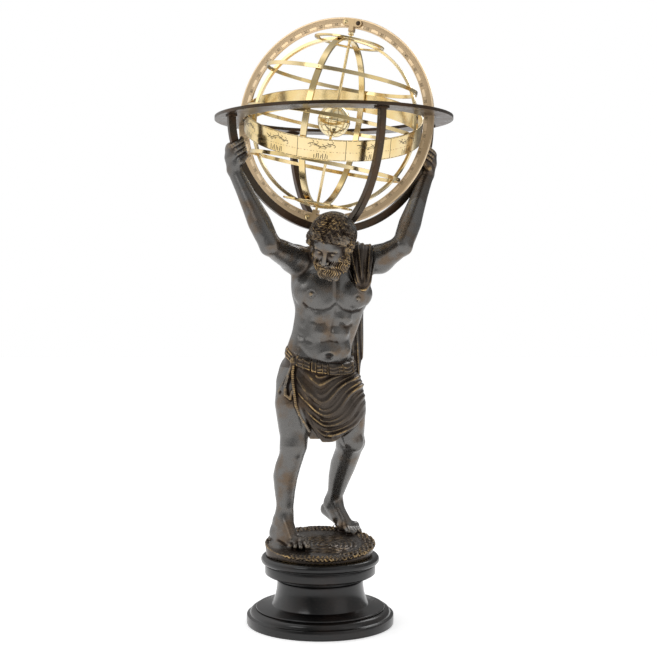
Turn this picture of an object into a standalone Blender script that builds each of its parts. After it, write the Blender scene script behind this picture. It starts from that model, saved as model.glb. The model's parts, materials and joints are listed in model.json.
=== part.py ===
"""Atlas carrying an armillary sphere: a cast figure on a turned plinth, holding a cradle with a
horizon ring, a meridian ring and a cage of rings that turns on the polar axis.

Metres, +Z up. The origin is the centre of the plinth's underside and the figure faces -Y."""
import math

import bmesh
import bpy
import numpy as np
from mathutils import Matrix, Vector

# Plinth: turned black wood or stone, all radii and heights of its own mouldings
PLINTH_FOOT_R = 0.0924
PLINTH_FOOT_BAND = 0.0115
PLINTH_STEP_R = 0.0805
PLINTH_STEP_Z = 0.0205
PLINTH_NECK_FOOT_Z = 0.0240
PLINTH_NECK_FOOT_R = 0.0605
PLINTH_NECK_R = 0.0541
PLINTH_NECK_TOP_Z = 0.0540
PLINTH_UNDERCUT_R = 0.0505
PLINTH_CAP_R = 0.0695
PLINTH_CAP_BOTTOM_Z = 0.0603
PLINTH_CAP_FACE_Z = 0.0624
PLINTH_CAP_EASE = 0.0030
PLINTH_NECK_EASE = 0.0006
PLINTH_OGEE_TOP_OUT = 0.0055
PLINTH_OGEE_TOP_UP = 0.0066
PLINTH_OGEE_LOW_OUT = 0.0080
PLINTH_OGEE_LOW_UP = 0.0014
PLINTH_FOOT_EASE = 0.0010
PLINTH_FOOT_EASE_UP = 0.0007
PLINTH_TORUS_R = 0.0745
PLINTH_TORUS_Z = 0.0800
PLINTH_TORUS_HALF = 0.0052
PLINTH_STEPS = 32

# Figure: everything of the figure is a share of its height, from the ground's underside to the crown
FIGURE_HEIGHT = 0.4280
UNIT = FIGURE_HEIGHT / 428.0
FIGURE_CELL = 2.6
FIGURE_TRIANGLES = 3600
SEAT_GAP = 0.0003

# Sphere: where it stands over the figure, and the direction its meridian plane faces
SPHERE_X = 0.0172
CRADLE_LOW = 0.9439
MERIDIAN_TURN = math.radians(-21.5)
MERIDIAN_LEAN = math.radians(1.6)
POLAR_TILT = math.radians(11.4)
CAGE_DROP = 0.0025
CAGE_TURN = math.radians(17.5)

HORIZON_WIDTH = 0.0345
HORIZON_CLEAR = 0.0033
HORIZON_THICK = 0.0040
HORIZON_RISE = 0.0007
NOTCH_GAP = 0.0006

MERIDIAN_CLEAR = 0.0063
MERIDIAN_WIDTH = 0.0127
MERIDIAN_THICK = 0.0040

CRADLE_GAP = 0.0006
CRADLE_DEPTH = 0.0095
CRADLE_WIDTH = 0.0080
CRADLE_LAP = 0.0004
FLANGE_LENGTH = 0.0170
FLANGE_WIDTH = 0.0110
FLANGE_THICK = 0.0020
GRIP_GAP = 0.0004

COLURE_R = 0.1085
COLURE_THICK = 0.0036
COLURE_WIDTH = 0.0075
RING_GAP = 0.0003
EQUATOR_WIDTH = 0.0045
EQUATOR_THICK = 0.0016
TROPIC_LATITUDE = math.radians(30.5)
TROPIC_WIDTH = 0.0048
TROPIC_THICK = 0.0015
POLAR_RING_R = 0.0445
POLAR_RING_FACE = 0.0060
POLAR_RING_THICK = 0.0022
ZODIAC_TILT = math.radians(22.5)
ZODIAC_WIDTH = 0.0260
ZODIAC_THICK = 0.0015
ZODIAC_PEG_R = 0.0014

ROD_R = 0.0018
PIN_R = 0.0012
PIN_GAP = 0.0004
COLLAR_R = 0.0038
COLLAR_HEIGHT = 0.0036
GLOBE_R = 0.0208
GLOBE_UP = 0.0030

BRACKET_LENGTH = 0.0260
BRACKET_HEIGHT = 0.0095
BRACKET_THICK = 0.0022
BOSS_WIDTH = 0.0070
BOSS_DEPTH = 0.0045

STAND_RING_STEPS = 48
RING_STEPS = 36
SMALL_RING_STEPS = 24


def wipe():
    for thing in list(bpy.data.objects):
        bpy.data.objects.remove(thing, do_unlink=True)


def new_collection(name):
    group = bpy.data.collections.new(name)
    bpy.context.scene.collection.children.link(group)
    return group


def coat(name, colour, roughness, metallic):
    mat = bpy.data.materials.new(name)
    mat.use_nodes = True
    shader = next(n for n in mat.node_tree.nodes if n.type == "BSDF_PRINCIPLED")
    shader.inputs["Base Color"].default_value = (*colour, 1.0)
    shader.inputs["Roughness"].default_value = roughness
    shader.inputs["Metallic"].default_value = metallic
    return mat


wipe()
PARTS = new_collection("atlas_armillary_sphere")
CUTTERS = new_collection("cutters")
BRONZE = coat("dark_bronze", (0.045, 0.038, 0.033), 0.38, 0.9)
IRON = coat("oxidised_bronze", (0.05, 0.04, 0.035), 0.45, 0.85)
ROSE = coat("pale_brass", (0.72, 0.55, 0.36), 0.38, 1.0)
GOLD = coat("polished_brass", (0.83, 0.62, 0.25), 0.2, 1.0)
BLACK = coat("black_lacquer", (0.012, 0.011, 0.011), 0.2, 0.0)


def link(name, mesh, mat, group=PARTS):
    thing = bpy.data.objects.new(name, mesh)
    group.objects.link(thing)
    if mat is not None:
        mesh.materials.clear()
        mesh.materials.append(mat)
    return thing


def as_cutter(thing):
    for group in list(thing.users_collection):
        group.objects.unlink(thing)
    CUTTERS.objects.link(thing)
    thing.hide_render = True
    thing.display_type = "WIRE"
    return thing


def boolean(thing, other, operation="DIFFERENCE"):
    mod = thing.modifiers.new("cut_" + other.name, "BOOLEAN")
    mod.operation = operation
    mod.solver = "EXACT"
    mod.object = other
    return mod


def turned(name, profile, steps, mat, closed):
    """A profile at +X, listed from the top down its outer side, swept round Z."""
    mesh = bpy.data.meshes.new(name)
    bm = bmesh.new()
    points = [bm.verts.new((r, 0.0, z)) for r, z in profile]
    for first, second in zip(points, points[1:]):
        bm.edges.new((first, second))
    if closed:
        bm.edges.new((points[-1], points[0]))
    bm.to_mesh(mesh)
    bm.free()
    thing = link(name, mesh, mat)
    screw = thing.modifiers.new("turn", "SCREW")
    screw.angle = 2.0 * math.pi
    screw.steps = steps
    screw.render_steps = steps
    screw.axis = "Z"
    screw.use_merge_vertices = True
    screw.merge_threshold = 0.00005
    screw.use_smooth_shade = True
    return thing


def band(name, outer, inner, low, high, steps, mat):
    """A ring of rectangular section round Z."""
    profile = [(outer, high), (outer, low), (inner, low), (inner, high)]
    return turned(name, profile, steps, mat, True)


def block(name, size, place=(0.0, 0.0, 0.0)):
    bpy.ops.mesh.primitive_cube_add(size=1.0)
    thing = bpy.context.object
    thing.name = name
    thing.data.transform(Matrix.Translation(place) @ Matrix.Diagonal((*size, 1.0)))
    return thing


def rod(name, radius, low, high, sides=20):
    bpy.ops.mesh.primitive_cylinder_add(vertices=sides, radius=radius, depth=high - low)
    thing = bpy.context.object
    thing.name = name
    thing.data.transform(Matrix.Translation((0.0, 0.0, 0.5 * (low + high))))
    return thing


def keep(thing, mat):
    for group in list(thing.users_collection):
        group.objects.unlink(thing)
    PARTS.objects.link(thing)
    thing.data.materials.clear()
    thing.data.materials.append(mat)
    return thing


def frame_from(x_axis, z_axis, place):
    z_axis = Vector(z_axis).normalized()
    y_axis = z_axis.cross(Vector(x_axis)).normalized()
    x_axis = y_axis.cross(z_axis)
    turn = Matrix((x_axis, y_axis, z_axis)).transposed().to_4x4()
    return Matrix.Translation(place) @ turn


# Each ring is sized from the one inside it: the cage, then the meridian and the horizon, then the cradle
ZODIAC_INNER_R = COLURE_R + RING_GAP + EQUATOR_THICK + RING_GAP
ZODIAC_R = ZODIAC_INNER_R + ZODIAC_THICK
MERIDIAN_INNER_R = ZODIAC_R + MERIDIAN_CLEAR
MERIDIAN_R = MERIDIAN_INNER_R + MERIDIAN_WIDTH
HORIZON_INNER_R = ZODIAC_R + HORIZON_CLEAR
HORIZON_R = HORIZON_INNER_R + HORIZON_WIDTH
HOOP_INNER = MERIDIAN_R + CRADLE_GAP
HOOP_OUTER = HOOP_INNER + CRADLE_DEPTH
PLINTH_TOP = PLINTH_TORUS_Z + PLINTH_TORUS_HALF
GROUND_Z = PLINTH_TOP + SEAT_GAP
SPHERE_HEIGHT = GROUND_Z + CRADLE_LOW * FIGURE_HEIGHT + HOOP_OUTER
HORIZON_Z = SPHERE_HEIGHT + HORIZON_RISE

# Directions of the sphere: across is the level line in the meridian's plane, polar the axis of the cage
SPHERE = Vector((SPHERE_X, 0.0, SPHERE_HEIGHT))
ACROSS = Vector((math.cos(MERIDIAN_TURN), math.sin(MERIDIAN_TURN), 0.0))
LEVEL_NORMAL = Vector((-math.sin(MERIDIAN_TURN), math.cos(MERIDIAN_TURN), 0.0))
UPRIGHT = Matrix.Rotation(MERIDIAN_LEAN, 3, -ACROSS) @ Vector((0.0, 0.0, 1.0))
MERIDIAN_NORMAL = UPRIGHT.cross(ACROSS)
POLAR = ACROSS * math.sin(POLAR_TILT) + UPRIGHT * math.cos(POLAR_TILT)
CAGE = SPHERE - POLAR * CAGE_DROP
FRONT = Vector((0.0, -1.0, 0.0))
FRONT = (FRONT - POLAR * FRONT.dot(POLAR)).normalized()
FRONT = Matrix.Rotation(-CAGE_TURN, 3, POLAR) @ FRONT
SIDE = POLAR.cross(FRONT)


def hoop_direction(turn):
    """Level direction of one cradle arc, turn degrees from the meridian's own line."""
    return Matrix.Rotation(math.radians(turn), 3, "Z") @ ACROSS


def hoop_point(turn, below, radius):
    """A point on an arc of the cradle, below radians under the level of the sphere's centre."""
    out = hoop_direction(turn)
    return SPHERE + (out * math.cos(below) - Vector((0, 0, 1)) * math.sin(below)) * radius


def plinth():
    flare = PLINTH_NECK_FOOT_R - PLINTH_NECK_R
    neck = PLINTH_NECK_TOP_Z - PLINTH_NECK_FOOT_Z
    torus = []
    for i in range(6):
        angle = math.radians(90.0 - 36.0 * i)
        r = PLINTH_TORUS_R - PLINTH_TORUS_HALF + PLINTH_TORUS_HALF * math.cos(angle)
        torus.append((r, PLINTH_TORUS_Z + PLINTH_TORUS_HALF * math.sin(angle)))
    profile = [(0.0, PLINTH_TOP)] + torus
    profile += [
        (PLINTH_CAP_R, torus[-1][1]),
        (PLINTH_CAP_R, PLINTH_CAP_FACE_Z),
        (PLINTH_CAP_R - PLINTH_CAP_EASE, PLINTH_CAP_BOTTOM_Z),
        (PLINTH_UNDERCUT_R, PLINTH_CAP_BOTTOM_Z),
        (PLINTH_UNDERCUT_R, PLINTH_NECK_TOP_Z),
        (PLINTH_NECK_R, PLINTH_NECK_TOP_Z - PLINTH_NECK_EASE),
        (PLINTH_NECK_R + 0.2 * flare, PLINTH_NECK_FOOT_Z + 0.54 * neck),
        (PLINTH_NECK_R + 0.55 * flare, PLINTH_NECK_FOOT_Z + 0.25 * neck),
        (PLINTH_NECK_FOOT_R, PLINTH_NECK_FOOT_Z),
        (PLINTH_STEP_R, PLINTH_STEP_Z),
        (PLINTH_STEP_R + PLINTH_OGEE_TOP_OUT, PLINTH_FOOT_BAND + PLINTH_OGEE_TOP_UP),
        (PLINTH_STEP_R + PLINTH_OGEE_LOW_OUT, PLINTH_FOOT_BAND + PLINTH_OGEE_LOW_UP),
        (PLINTH_FOOT_R - PLINTH_FOOT_EASE, PLINTH_FOOT_BAND + PLINTH_FOOT_EASE_UP),
        (PLINTH_FOOT_R, PLINTH_FOOT_BAND),
        (PLINTH_FOOT_R, 0.0),
        (0.0, 0.0),
    ]
    return turned("plinth", profile, PLINTH_STEPS, BLACK, False)


def sphere_stand():
    """Horizon ring, cradle and meridian ring, which stay with the figure."""
    horizon = band("horizon_ring", HORIZON_R, HORIZON_INNER_R, 0.0, HORIZON_THICK, STAND_RING_STEPS, IRON)
    horizon.location = (SPHERE_X, 0.0, HORIZON_Z)
    reach = MERIDIAN_R + NOTCH_GAP
    for sign in (1, -1):
        length = reach - HORIZON_INNER_R + 0.01
        notch = block("meridian_notch", (length, MERIDIAN_THICK + 2 * NOTCH_GAP + 0.0003, 0.02))
        middle = SPHERE + ACROSS * sign * (reach - 0.5 * length)
        notch.matrix_world = frame_from(ACROSS, (0, 0, 1), (middle.x, middle.y, HORIZON_Z))
        as_cutter(notch)
        boolean(horizon, notch)

    meridian = band(
        "meridian_ring", MERIDIAN_R, MERIDIAN_INNER_R,
        -0.5 * MERIDIAN_THICK, 0.5 * MERIDIAN_THICK, STAND_RING_STEPS, ROSE,
    )
    meridian.matrix_world = frame_from(ACROSS, MERIDIAN_NORMAL, SPHERE)

    hoops = []
    for turn, lap in ((45.0, 0.0), (-45.0, CRADLE_LAP)):
        hoop = band(
            "hoop", HOOP_OUTER + lap, HOOP_INNER + lap, -0.5 * CRADLE_WIDTH, 0.5 * CRADLE_WIDTH,
            STAND_RING_STEPS, IRON,
        )
        out = hoop_direction(turn)
        hoop.matrix_world = frame_from(out, out.cross(Vector((0, 0, 1))), SPHERE)
        hoops.append(hoop)
    top = HORIZON_Z - SEAT_GAP
    cradle = hoops[0]
    cradle.name = "cradle"
    boolean(cradle, as_cutter(hoops[1]), "UNION")
    for turn in (45.0, -45.0, 135.0, -135.0):
        flange = block("flange", (FLANGE_WIDTH, FLANGE_LENGTH, 2 * FLANGE_THICK))
        out = hoop_direction(turn)
        place = Vector((SPHERE_X, 0.0, top)) + out * 0.5 * (HOOP_OUTER + HOOP_INNER)
        flange.matrix_world = frame_from(out, (0, 0, 1), place)
        boolean(cradle, as_cutter(flange), "UNION")
    above = block("above_cradle", (3 * HOOP_OUTER, 3 * HOOP_OUTER, 2 * HOOP_OUTER), (0.0, 0.0, HOOP_OUTER))
    above.location = (SPHERE_X, 0.0, top)
    boolean(cradle, as_cutter(above))


def bracket(name, pole):
    """Clamp plate on the meridian's front face with a boss that holds the end of the polar rod."""
    inner = MERIDIAN_INNER_R
    plate_y = -0.5 * MERIDIAN_THICK - RING_GAP - 0.5 * BRACKET_THICK
    plate = block(name, (BRACKET_LENGTH, BRACKET_THICK, BRACKET_HEIGHT), (0.0, plate_y, inner + 0.5 * MERIDIAN_WIDTH))
    boss_high = inner - RING_GAP
    boss_low = boss_high - BOSS_DEPTH
    deep = 0.5 * BOSS_WIDTH + 0.0005
    boss = block(
        "boss", (BOSS_WIDTH, 2.0 * deep, boss_high - boss_low), (0.0, 0.0, 0.5 * (boss_low + boss_high))
    )
    web_high = inner + 0.5 * MERIDIAN_WIDTH
    web = block(
        "web", (BOSS_WIDTH, BRACKET_THICK, web_high - boss_low - 0.001),
        (0.0, plate_y - 0.0001, 0.5 * (web_high + boss_low + 0.001)),
    )
    hole = rod("pin_hole", PIN_R + PIN_GAP, boss_low - 0.002, boss_high - 0.0012, 24)
    keep(plate, ROSE)
    place = frame_from(MERIDIAN_NORMAL.cross(POLAR) * pole, POLAR * pole, SPHERE)
    for other, action in ((boss, "UNION"), (web, "UNION"), (hole, "DIFFERENCE")):
        other.matrix_world = place
        boolean(plate, as_cutter(other), action)
    plate.matrix_world = place
    return plate


def cage():
    """Everything that turns, parented to an empty on the polar axis."""
    hub = bpy.data.objects.new("polar_hinge", None)
    PARTS.objects.link(hub)
    hub.matrix_world = frame_from(FRONT, POLAR, CAGE)

    def ride(thing, matrix=Matrix.Identity(4)):
        thing.parent = hub
        thing.matrix_basis = matrix
        return thing

    inner = COLURE_R - COLURE_THICK
    half = 0.5 * COLURE_WIDTH
    middle = COLURE_R - 0.5 * COLURE_THICK
    bore = ride(as_cutter(rod("axis_bore", ROD_R + RING_GAP, -0.2, 0.2, 24)))
    for name, turn, notch_out in (("solstitial_colure", 0.0, True), ("equinoctial_colure", 90.0, False)):
        ring = band(name, COLURE_R, inner, -half, half, RING_STEPS, GOLD)
        stand = Matrix.Rotation(math.radians(turn), 4, "Z") @ Matrix.Rotation(math.radians(90.0), 4, "X")
        ride(ring, stand)
        for pole in (1, -1):
            near = middle - 0.5 * RING_GAP if notch_out else inner - 0.01
            far = COLURE_R + 0.01 if notch_out else middle + 0.5 * RING_GAP
            size = (COLURE_WIDTH + 2 * RING_GAP, COLURE_WIDTH + 0.004, far - near)
            slot = block("halving", size, (0.0, 0.0, pole * 0.5 * (near + far)))
            ride(as_cutter(slot), Matrix.Rotation(math.radians(turn), 4, "Z"))
            boolean(ring, slot)
        boolean(ring, bore)

    def circle(name, low, high, thick, steps):
        nearest = min(abs(low), abs(high)) if low * high > 0 else 0.0
        r = math.sqrt(COLURE_R ** 2 - nearest ** 2) + RING_GAP
        return ride(band(name, r + thick, r, low, high, steps, GOLD))

    circle("equator_ring", -0.5 * EQUATOR_WIDTH, 0.5 * EQUATOR_WIDTH, EQUATOR_THICK, RING_STEPS)
    mid = COLURE_R * math.sin(TROPIC_LATITUDE)
    low, high = mid - 0.5 * TROPIC_WIDTH, mid + 0.5 * TROPIC_WIDTH
    circle("tropic_of_cancer_ring", low, high, TROPIC_THICK, RING_STEPS)
    circle("tropic_of_capricorn_ring", -high, -low, TROPIC_THICK, RING_STEPS)
    inside = POLAR_RING_R - POLAR_RING_FACE
    rest = math.sqrt(COLURE_R ** 2 - inside ** 2) + RING_GAP
    top = rest + POLAR_RING_THICK
    ride(band("arctic_ring", POLAR_RING_R, inside, rest, top, SMALL_RING_STEPS, GOLD))
    ride(band("antarctic_ring", POLAR_RING_R, inside, -top, -rest, SMALL_RING_STEPS, GOLD))

    lean = Matrix.Rotation(ZODIAC_TILT, 4, "Y")
    zodiac = band(
        "zodiac_band", ZODIAC_R, ZODIAC_INNER_R,
        -0.5 * ZODIAC_WIDTH, 0.5 * ZODIAC_WIDTH, 44, GOLD,
    )
    ride(zodiac, lean)
    for turn in (0.0, 180.0):
        length = ZODIAC_INNER_R + 0.5 * ZODIAC_THICK - COLURE_R - RING_GAP
        peg = rod("peg", ZODIAC_PEG_R, COLURE_R + RING_GAP, COLURE_R + RING_GAP + length, 10)
        ride(as_cutter(peg), lean @ Matrix.Rotation(math.radians(turn), 4, "Z") @ Matrix.Rotation(math.radians(90), 4, "Y"))
        boolean(zodiac, peg, "UNION")

    reach = MERIDIAN_INNER_R - RING_GAP - 0.0016
    north = reach + CAGE_DROP
    south = -(reach - CAGE_DROP)
    axis = [(0.0, north), (PIN_R, north)]
    shoulder = MERIDIAN_INNER_R - RING_GAP - BOSS_DEPTH - PIN_GAP
    collar_top = shoulder + CAGE_DROP
    foot = -(shoulder - CAGE_DROP)
    axis += [(PIN_R, collar_top), (COLLAR_R, collar_top)]
    axis += [(COLLAR_R, max(collar_top - COLLAR_HEIGHT, COLURE_R + RING_GAP))]
    axis += [(ROD_R, max(collar_top - COLLAR_HEIGHT, COLURE_R + RING_GAP) - 0.0001), (ROD_R, foot)]
    axis += [(PIN_R, foot), (PIN_R, south), (0.0, south)]
    ride(turned("polar_axis", axis, 16, GOLD, False))

    bpy.ops.mesh.primitive_uv_sphere_add(segments=20, ring_count=10, radius=GLOBE_R)
    globe = keep(bpy.context.object, GOLD)
    globe.name = "globe"
    ride(globe, Matrix.Translation((0.0, 0.0, GLOBE_UP)))
    boolean(globe, bore)


# The figure is a distance field built from limbs, muscles and cloth, in 1/428ths of its height.
# x is to the viewer's right, y away from the viewer, z up from the ground's underside.
def smooth_table(stations, samples):
    stations = np.array(stations, dtype=np.float64)
    at = np.linspace(stations[0, 0], stations[-1, 0], samples)
    table = np.stack([np.interp(at, stations[:, 0], column) for column in stations.T[1:]])
    width = max(3, samples // 12) | 1
    kernel = np.hanning(width + 2)[1:-1]
    kernel /= kernel.sum()
    padded = np.pad(table, ((0, 0), (width // 2, width // 2)), mode="edge")
    return np.stack([np.convolve(row, kernel, mode="valid") for row in padded]).astype(np.float32)


def quadric(parts):
    """Distance to an ellipsoid-like surface from coordinate and radius pairs."""
    flat = sum((p / r) ** 2 for p, r in parts)
    steep = sum((p / (r * r)) ** 2 for p, r in parts)
    near = np.sqrt(flat)
    return near * (near - 1.0) / np.sqrt(np.maximum(steep, 1e-8))


def bone(a, b, ra, rb):
    a, b = np.array(a, np.float64), np.array(b, np.float64)
    run = b - a
    square = float(run @ run)

    def fn(x, y, z):
        t = ((x - a[0]) * run[0] + (y - a[1]) * run[1] + (z - a[2]) * run[2]) / square
        t = np.clip(t, 0.0, 1.0)
        gap = (x - a[0] - t * run[0]) ** 2 + (y - a[1] - t * run[1]) ** 2 + (z - a[2] - t * run[2]) ** 2
        return np.sqrt(gap) - (ra + (rb - ra) * t)

    big = max(ra, rb)
    return fn, np.minimum(a, b) - big, np.maximum(a, b) + big


def egg(centre, radii, axes=None):
    centre = np.array(centre, np.float64)
    axes = np.eye(3) if axes is None else np.array(axes, np.float64)

    def fn(x, y, z):
        parts = []
        for row, r in zip(axes, radii):
            parts.append(((x - centre[0]) * row[0] + (y - centre[1]) * row[1] + (z - centre[2]) * row[2], r))
        return quadric(parts)

    reach = np.sqrt(((axes * np.array(radii)[:, None]) ** 2).sum(0))
    return fn, centre - reach, centre + reach


def limb(a, b, side, stations):
    """A long form from a to b; each station is share along, half-width, half-depth, two offsets."""
    a, b = np.array(a, np.float64), np.array(b, np.float64)
    length = float(np.linalg.norm(b - a))
    axis = (b - a) / length
    side = np.array(side, np.float64)
    side = side - axis * (side @ axis)
    side /= np.linalg.norm(side)
    front = np.cross(axis, side)
    table = smooth_table(stations, 400)
    big = float(np.abs(table).sum(0).max())

    def fn(x, y, z):
        dx, dy, dz = x - a[0], y - a[1], z - a[2]
        along = dx * axis[0] + dy * axis[1] + dz * axis[2]
        inside = np.clip(along / length, 0.0, 1.0)
        pick = (inside * 399.0).astype(np.int32)
        wide, deep, shift_s, shift_f = (row[pick] for row in table)
        u = dx * side[0] + dy * side[1] + dz * side[2] - shift_s
        v = dx * front[0] + dy * front[1] + dz * front[2] - shift_f
        return quadric([(u, wide), (v, deep), (along - inside * length, 0.8 * np.minimum(wide, deep))])

    return fn, np.minimum(a, b) - big, np.maximum(a, b) + big


def column(stations, power=2.0):
    """An upright form; each station is height, centre x, centre y, half-width, half-depth, turn."""
    table = smooth_table(stations, 600)
    low, high = stations[0][0], stations[-1][0]
    wide = max(s[3] for s in stations) + 6.0
    xs = [s[1] for s in stations]
    ys = [s[2] for s in stations]

    def fn(x, y, z):
        inside = np.clip((z - low) / (high - low), 0.0, 1.0)
        pick = (inside * 599.0).astype(np.int32)
        cx, cy, hw, hd, turn = (row[pick] for row in table)
        turn = np.radians(turn)
        dx, dy = x - cx, y - cy
        u = dx * np.cos(turn) + dy * np.sin(turn)
        v = dy * np.cos(turn) - dx * np.sin(turn)
        beyond = z - (low + inside * (high - low))
        if power != 2.0:
            ratio = (np.abs(u / hw) ** power + np.abs(v / hd) ** power) ** (1.0 / power)
            return np.maximum((ratio - 1.0) * np.minimum(hw, hd) * 1.15, np.abs(beyond) - 0.5)
        return quadric([(u, hw), (v, hd), (beyond, 12.0)])

    return fn, np.array((min(xs) - wide, min(ys) - wide, low - 14)), np.array((max(xs) + wide, max(ys) + wide, high + 14))


def gyroid(x, y, z, scale):
    k = 2.0 * math.pi / scale
    sx, cx, sy, cy, sz, cz = np.sin(k * x), np.cos(k * x), np.sin(k * y), np.cos(k * y), np.sin(k * z), np.cos(k * z)
    return sx * cy + sy * cz + sz * cx


def fade(value, edge, width):
    """0 below the edge, 1 past it, eased over the width."""
    t = np.clip((value - edge) / width + 0.5, 0.0, 1.0)
    return t * t * (3.0 - 2.0 * t)


class Clay:
    def __init__(self, low, high, cell):
        self.cell = cell
        self.axes = [np.arange(a, b + cell, cell, dtype=np.float32) for a, b in zip(low, high)]
        self.field = np.full([len(a) for a in self.axes], 25.0, np.float32)

    def window(self, low, high):
        cuts = []
        for axis, a, b in zip(self.axes, low, high):
            cuts.append(slice(int(np.searchsorted(axis, a)), int(np.searchsorted(axis, b))))
        x, y, z = (axis[cut] for axis, cut in zip(self.axes, cuts))
        return tuple(cuts), x[:, None, None], y[None, :, None], z[None, None, :]

    def empty(self, cuts):
        return any(cut.stop <= cut.start for cut in cuts)

    def add(self, shape, blend=5.0):
        fn, low, high = shape
        reach = 6.0 + 2.2 * blend
        cuts, x, y, z = self.window(low - reach, high + reach)
        if self.empty(cuts):
            return
        old, new = self.field[cuts], fn(x, y, z).astype(np.float32)
        mix = np.maximum(blend - np.abs(old - new), 0.0) / blend
        self.field[cuts] = np.minimum(old, new) - mix * mix * blend * 0.25

    def cut(self, shape, blend=2.0):
        fn, low, high = shape
        cuts, x, y, z = self.window(low - 2.0 - blend, high + 2.0 + blend)
        if self.empty(cuts):
            return
        old, new = self.field[cuts], -fn(x, y, z).astype(np.float32)
        mix = np.maximum(blend - np.abs(old - new), 0.0) / blend
        self.field[cuts] = np.maximum(old, new) + mix * mix * blend * 0.25

    def relief(self, low, high, fn):
        """Raise the surface by fn, given in the same unit."""
        cuts, x, y, z = self.window(low, high)
        if self.empty(cuts):
            return
        self.field[cuts] -= fn(x, y, z, self.field[cuts]).astype(np.float32)

    def skin(self):
        """Vertices and quads of the surface, one vertex in each cell that it crosses."""
        f = self.field
        f[0], f[-1], f[:, 0], f[:, -1], f[:, :, 0], f[:, :, -1] = (25.0,) * 6
        solid = f < 0.0
        for _ in range(20):
            if not self.untangle(solid):
                break
        f[solid & (f >= 0.0)] = -0.05 * self.cell
        nx, ny, nz = (n - 1 for n in f.shape)
        total = np.zeros((nx, ny, nz), np.int8)
        for i in (0, 1):
            for j in (0, 1):
                for k in (0, 1):
                    total += solid[i:nx + i, j:ny + j, k:nz + k]
        cells = np.argwhere((total > 0) & (total < 8))
        index = np.full((nx, ny, nz), -1, np.int32)
        index[tuple(cells.T)] = np.arange(len(cells))
        sums = np.zeros((len(cells), 3))
        count = np.zeros(len(cells))
        corners = [(i, j, k) for i in (0, 1) for j in (0, 1) for k in (0, 1)]
        value = {c: f[tuple((cells + c).T)].astype(np.float64) for c in corners}
        for c in corners:
            for axis in range(3):
                if c[axis]:
                    continue
                d = tuple(c[n] + (n == axis) for n in range(3))
                p, q = value[c], value[d]
                crossing = (p < 0.0) != (q < 0.0)
                t = np.where(crossing, p / np.where(crossing, p - q, 1.0), 0.0)
                spot = np.tile(np.array(c, np.float64), (len(cells), 1))
                spot[:, axis] = t
                sums += np.where(crossing[:, None], spot, 0.0)
                count += crossing
        origin = np.array([axis[0] for axis in self.axes], np.float64)
        points = origin + (cells + sums / count[:, None]) * self.cell
        quads = []
        for axis in range(3):
            u, v = (axis + 1) % 3, (axis + 2) % 3
            head = [slice(None)] * 3
            tail = [slice(None)] * 3
            head[axis], tail[axis] = slice(0, -1), slice(1, None)
            a, b = solid[tuple(head)], solid[tuple(tail)]
            for flip in (False, True):
                edges = np.argwhere((b & ~a) if flip else (a & ~b))
                ring = []
                for du, dv in ((0, 0), (1, 0), (1, 1), (0, 1)):
                    cell = edges.copy()
                    cell[:, u] -= du
                    cell[:, v] -= dv
                    ring.append(index[tuple(cell.T)])
                if flip:
                    ring.reverse()
                ring.reverse()
                quads.append(np.stack(ring, 1))
        return points, np.concatenate(quads)[:, ::-1]

    def untangle(self, solid):
        """Fill corners wherever the solid in one grid cell meets itself only at a face's or the cell's diagonal."""
        changed = 0
        for axis in range(3):
            s = np.moveaxis(solid, axis, 0)
            a, b, c, d = s[:, :-1, :-1], s[:, 1:, :-1], s[:, 1:, 1:], s[:, :-1, 1:]
            first = a & c & ~b & ~d
            other = b & d & ~a & ~c
            changed += int(first.sum()) + int(other.sum())
            s[:, 1:, :-1] |= first
            s[:, :-1, :-1] |= other
        nx, ny, nz = (n - 1 for n in solid.shape)

        def corner(i, j, k):
            return solid[i:nx + i, j:ny + j, k:nz + k]

        for i, j in ((0, 0), (0, 1), (1, 0), (1, 1)):
            total = sum(corner(a, b, c).astype(np.int8) for a in (0, 1) for b in (0, 1) for c in (0, 1))
            near, far = corner(i, j, 0), corner(1 - i, 1 - j, 1)
            apart = near & far & (total == 2)
            pierced = ~near & ~far & (total == 6)
            changed += int(apart.sum()) + int(pierced.sum())
            corner(1 - i, j, 0)[apart] = True
            corner(1 - i, 1 - j, 0)[apart] = True
            near[pierced] = True
        return changed


def largest_body(points, quads):
    """Only the biggest connected body of the skin."""
    label = np.arange(len(points))
    ring = np.concatenate([quads[:, (i, (i + 1) % 4)] for i in range(4)])
    while True:
        low = np.minimum(label[ring[:, 0]], label[ring[:, 1]])
        before = label.copy()
        np.minimum.at(label, ring[:, 0], low)
        np.minimum.at(label, ring[:, 1], low)
        label = label[label]
        if np.array_equal(before, label):
            break
    names, sizes = np.unique(label, return_counts=True)
    chosen = label == names[sizes.argmax()]
    new = np.cumsum(chosen) - 1
    return points[chosen], new[quads[chosen[quads[:, 0]]]]


HEAD_AT = (13.6, -72.0, 389.5)
HEAD_BOW = math.radians(38.0)
HEAD_TURN = math.radians(20.0)


def head_axes():
    """Rows: the head's side, front and crown directions."""
    front = np.array((0.0, -math.cos(HEAD_BOW), -math.sin(HEAD_BOW)))
    crown = np.array((0.0, -math.sin(HEAD_BOW), math.cos(HEAD_BOW)))
    side = np.array((1.0, 0.0, 0.0))
    turned_front = front * math.cos(HEAD_TURN) - side * math.sin(HEAD_TURN)
    turned_side = side * math.cos(HEAD_TURN) + front * math.sin(HEAD_TURN)
    return np.stack((turned_side, turned_front, crown))


HEAD = head_axes()


def on_head(s, f, u):
    return np.array(HEAD_AT) + HEAD[0] * s + HEAD[1] * f + HEAD[2] * u


def head_space(x, y, z):
    dx, dy, dz = x - HEAD_AT[0], y - HEAD_AT[1], z - HEAD_AT[2]
    return tuple(dx * row[0] + dy * row[1] + dz * row[2] for row in HEAD)


def head_egg(place, radii):
    return egg(on_head(*place), radii, HEAD)


def head_bone(a, b, ra, rb):
    return bone(on_head(*a), on_head(*b), ra, rb)


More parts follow.
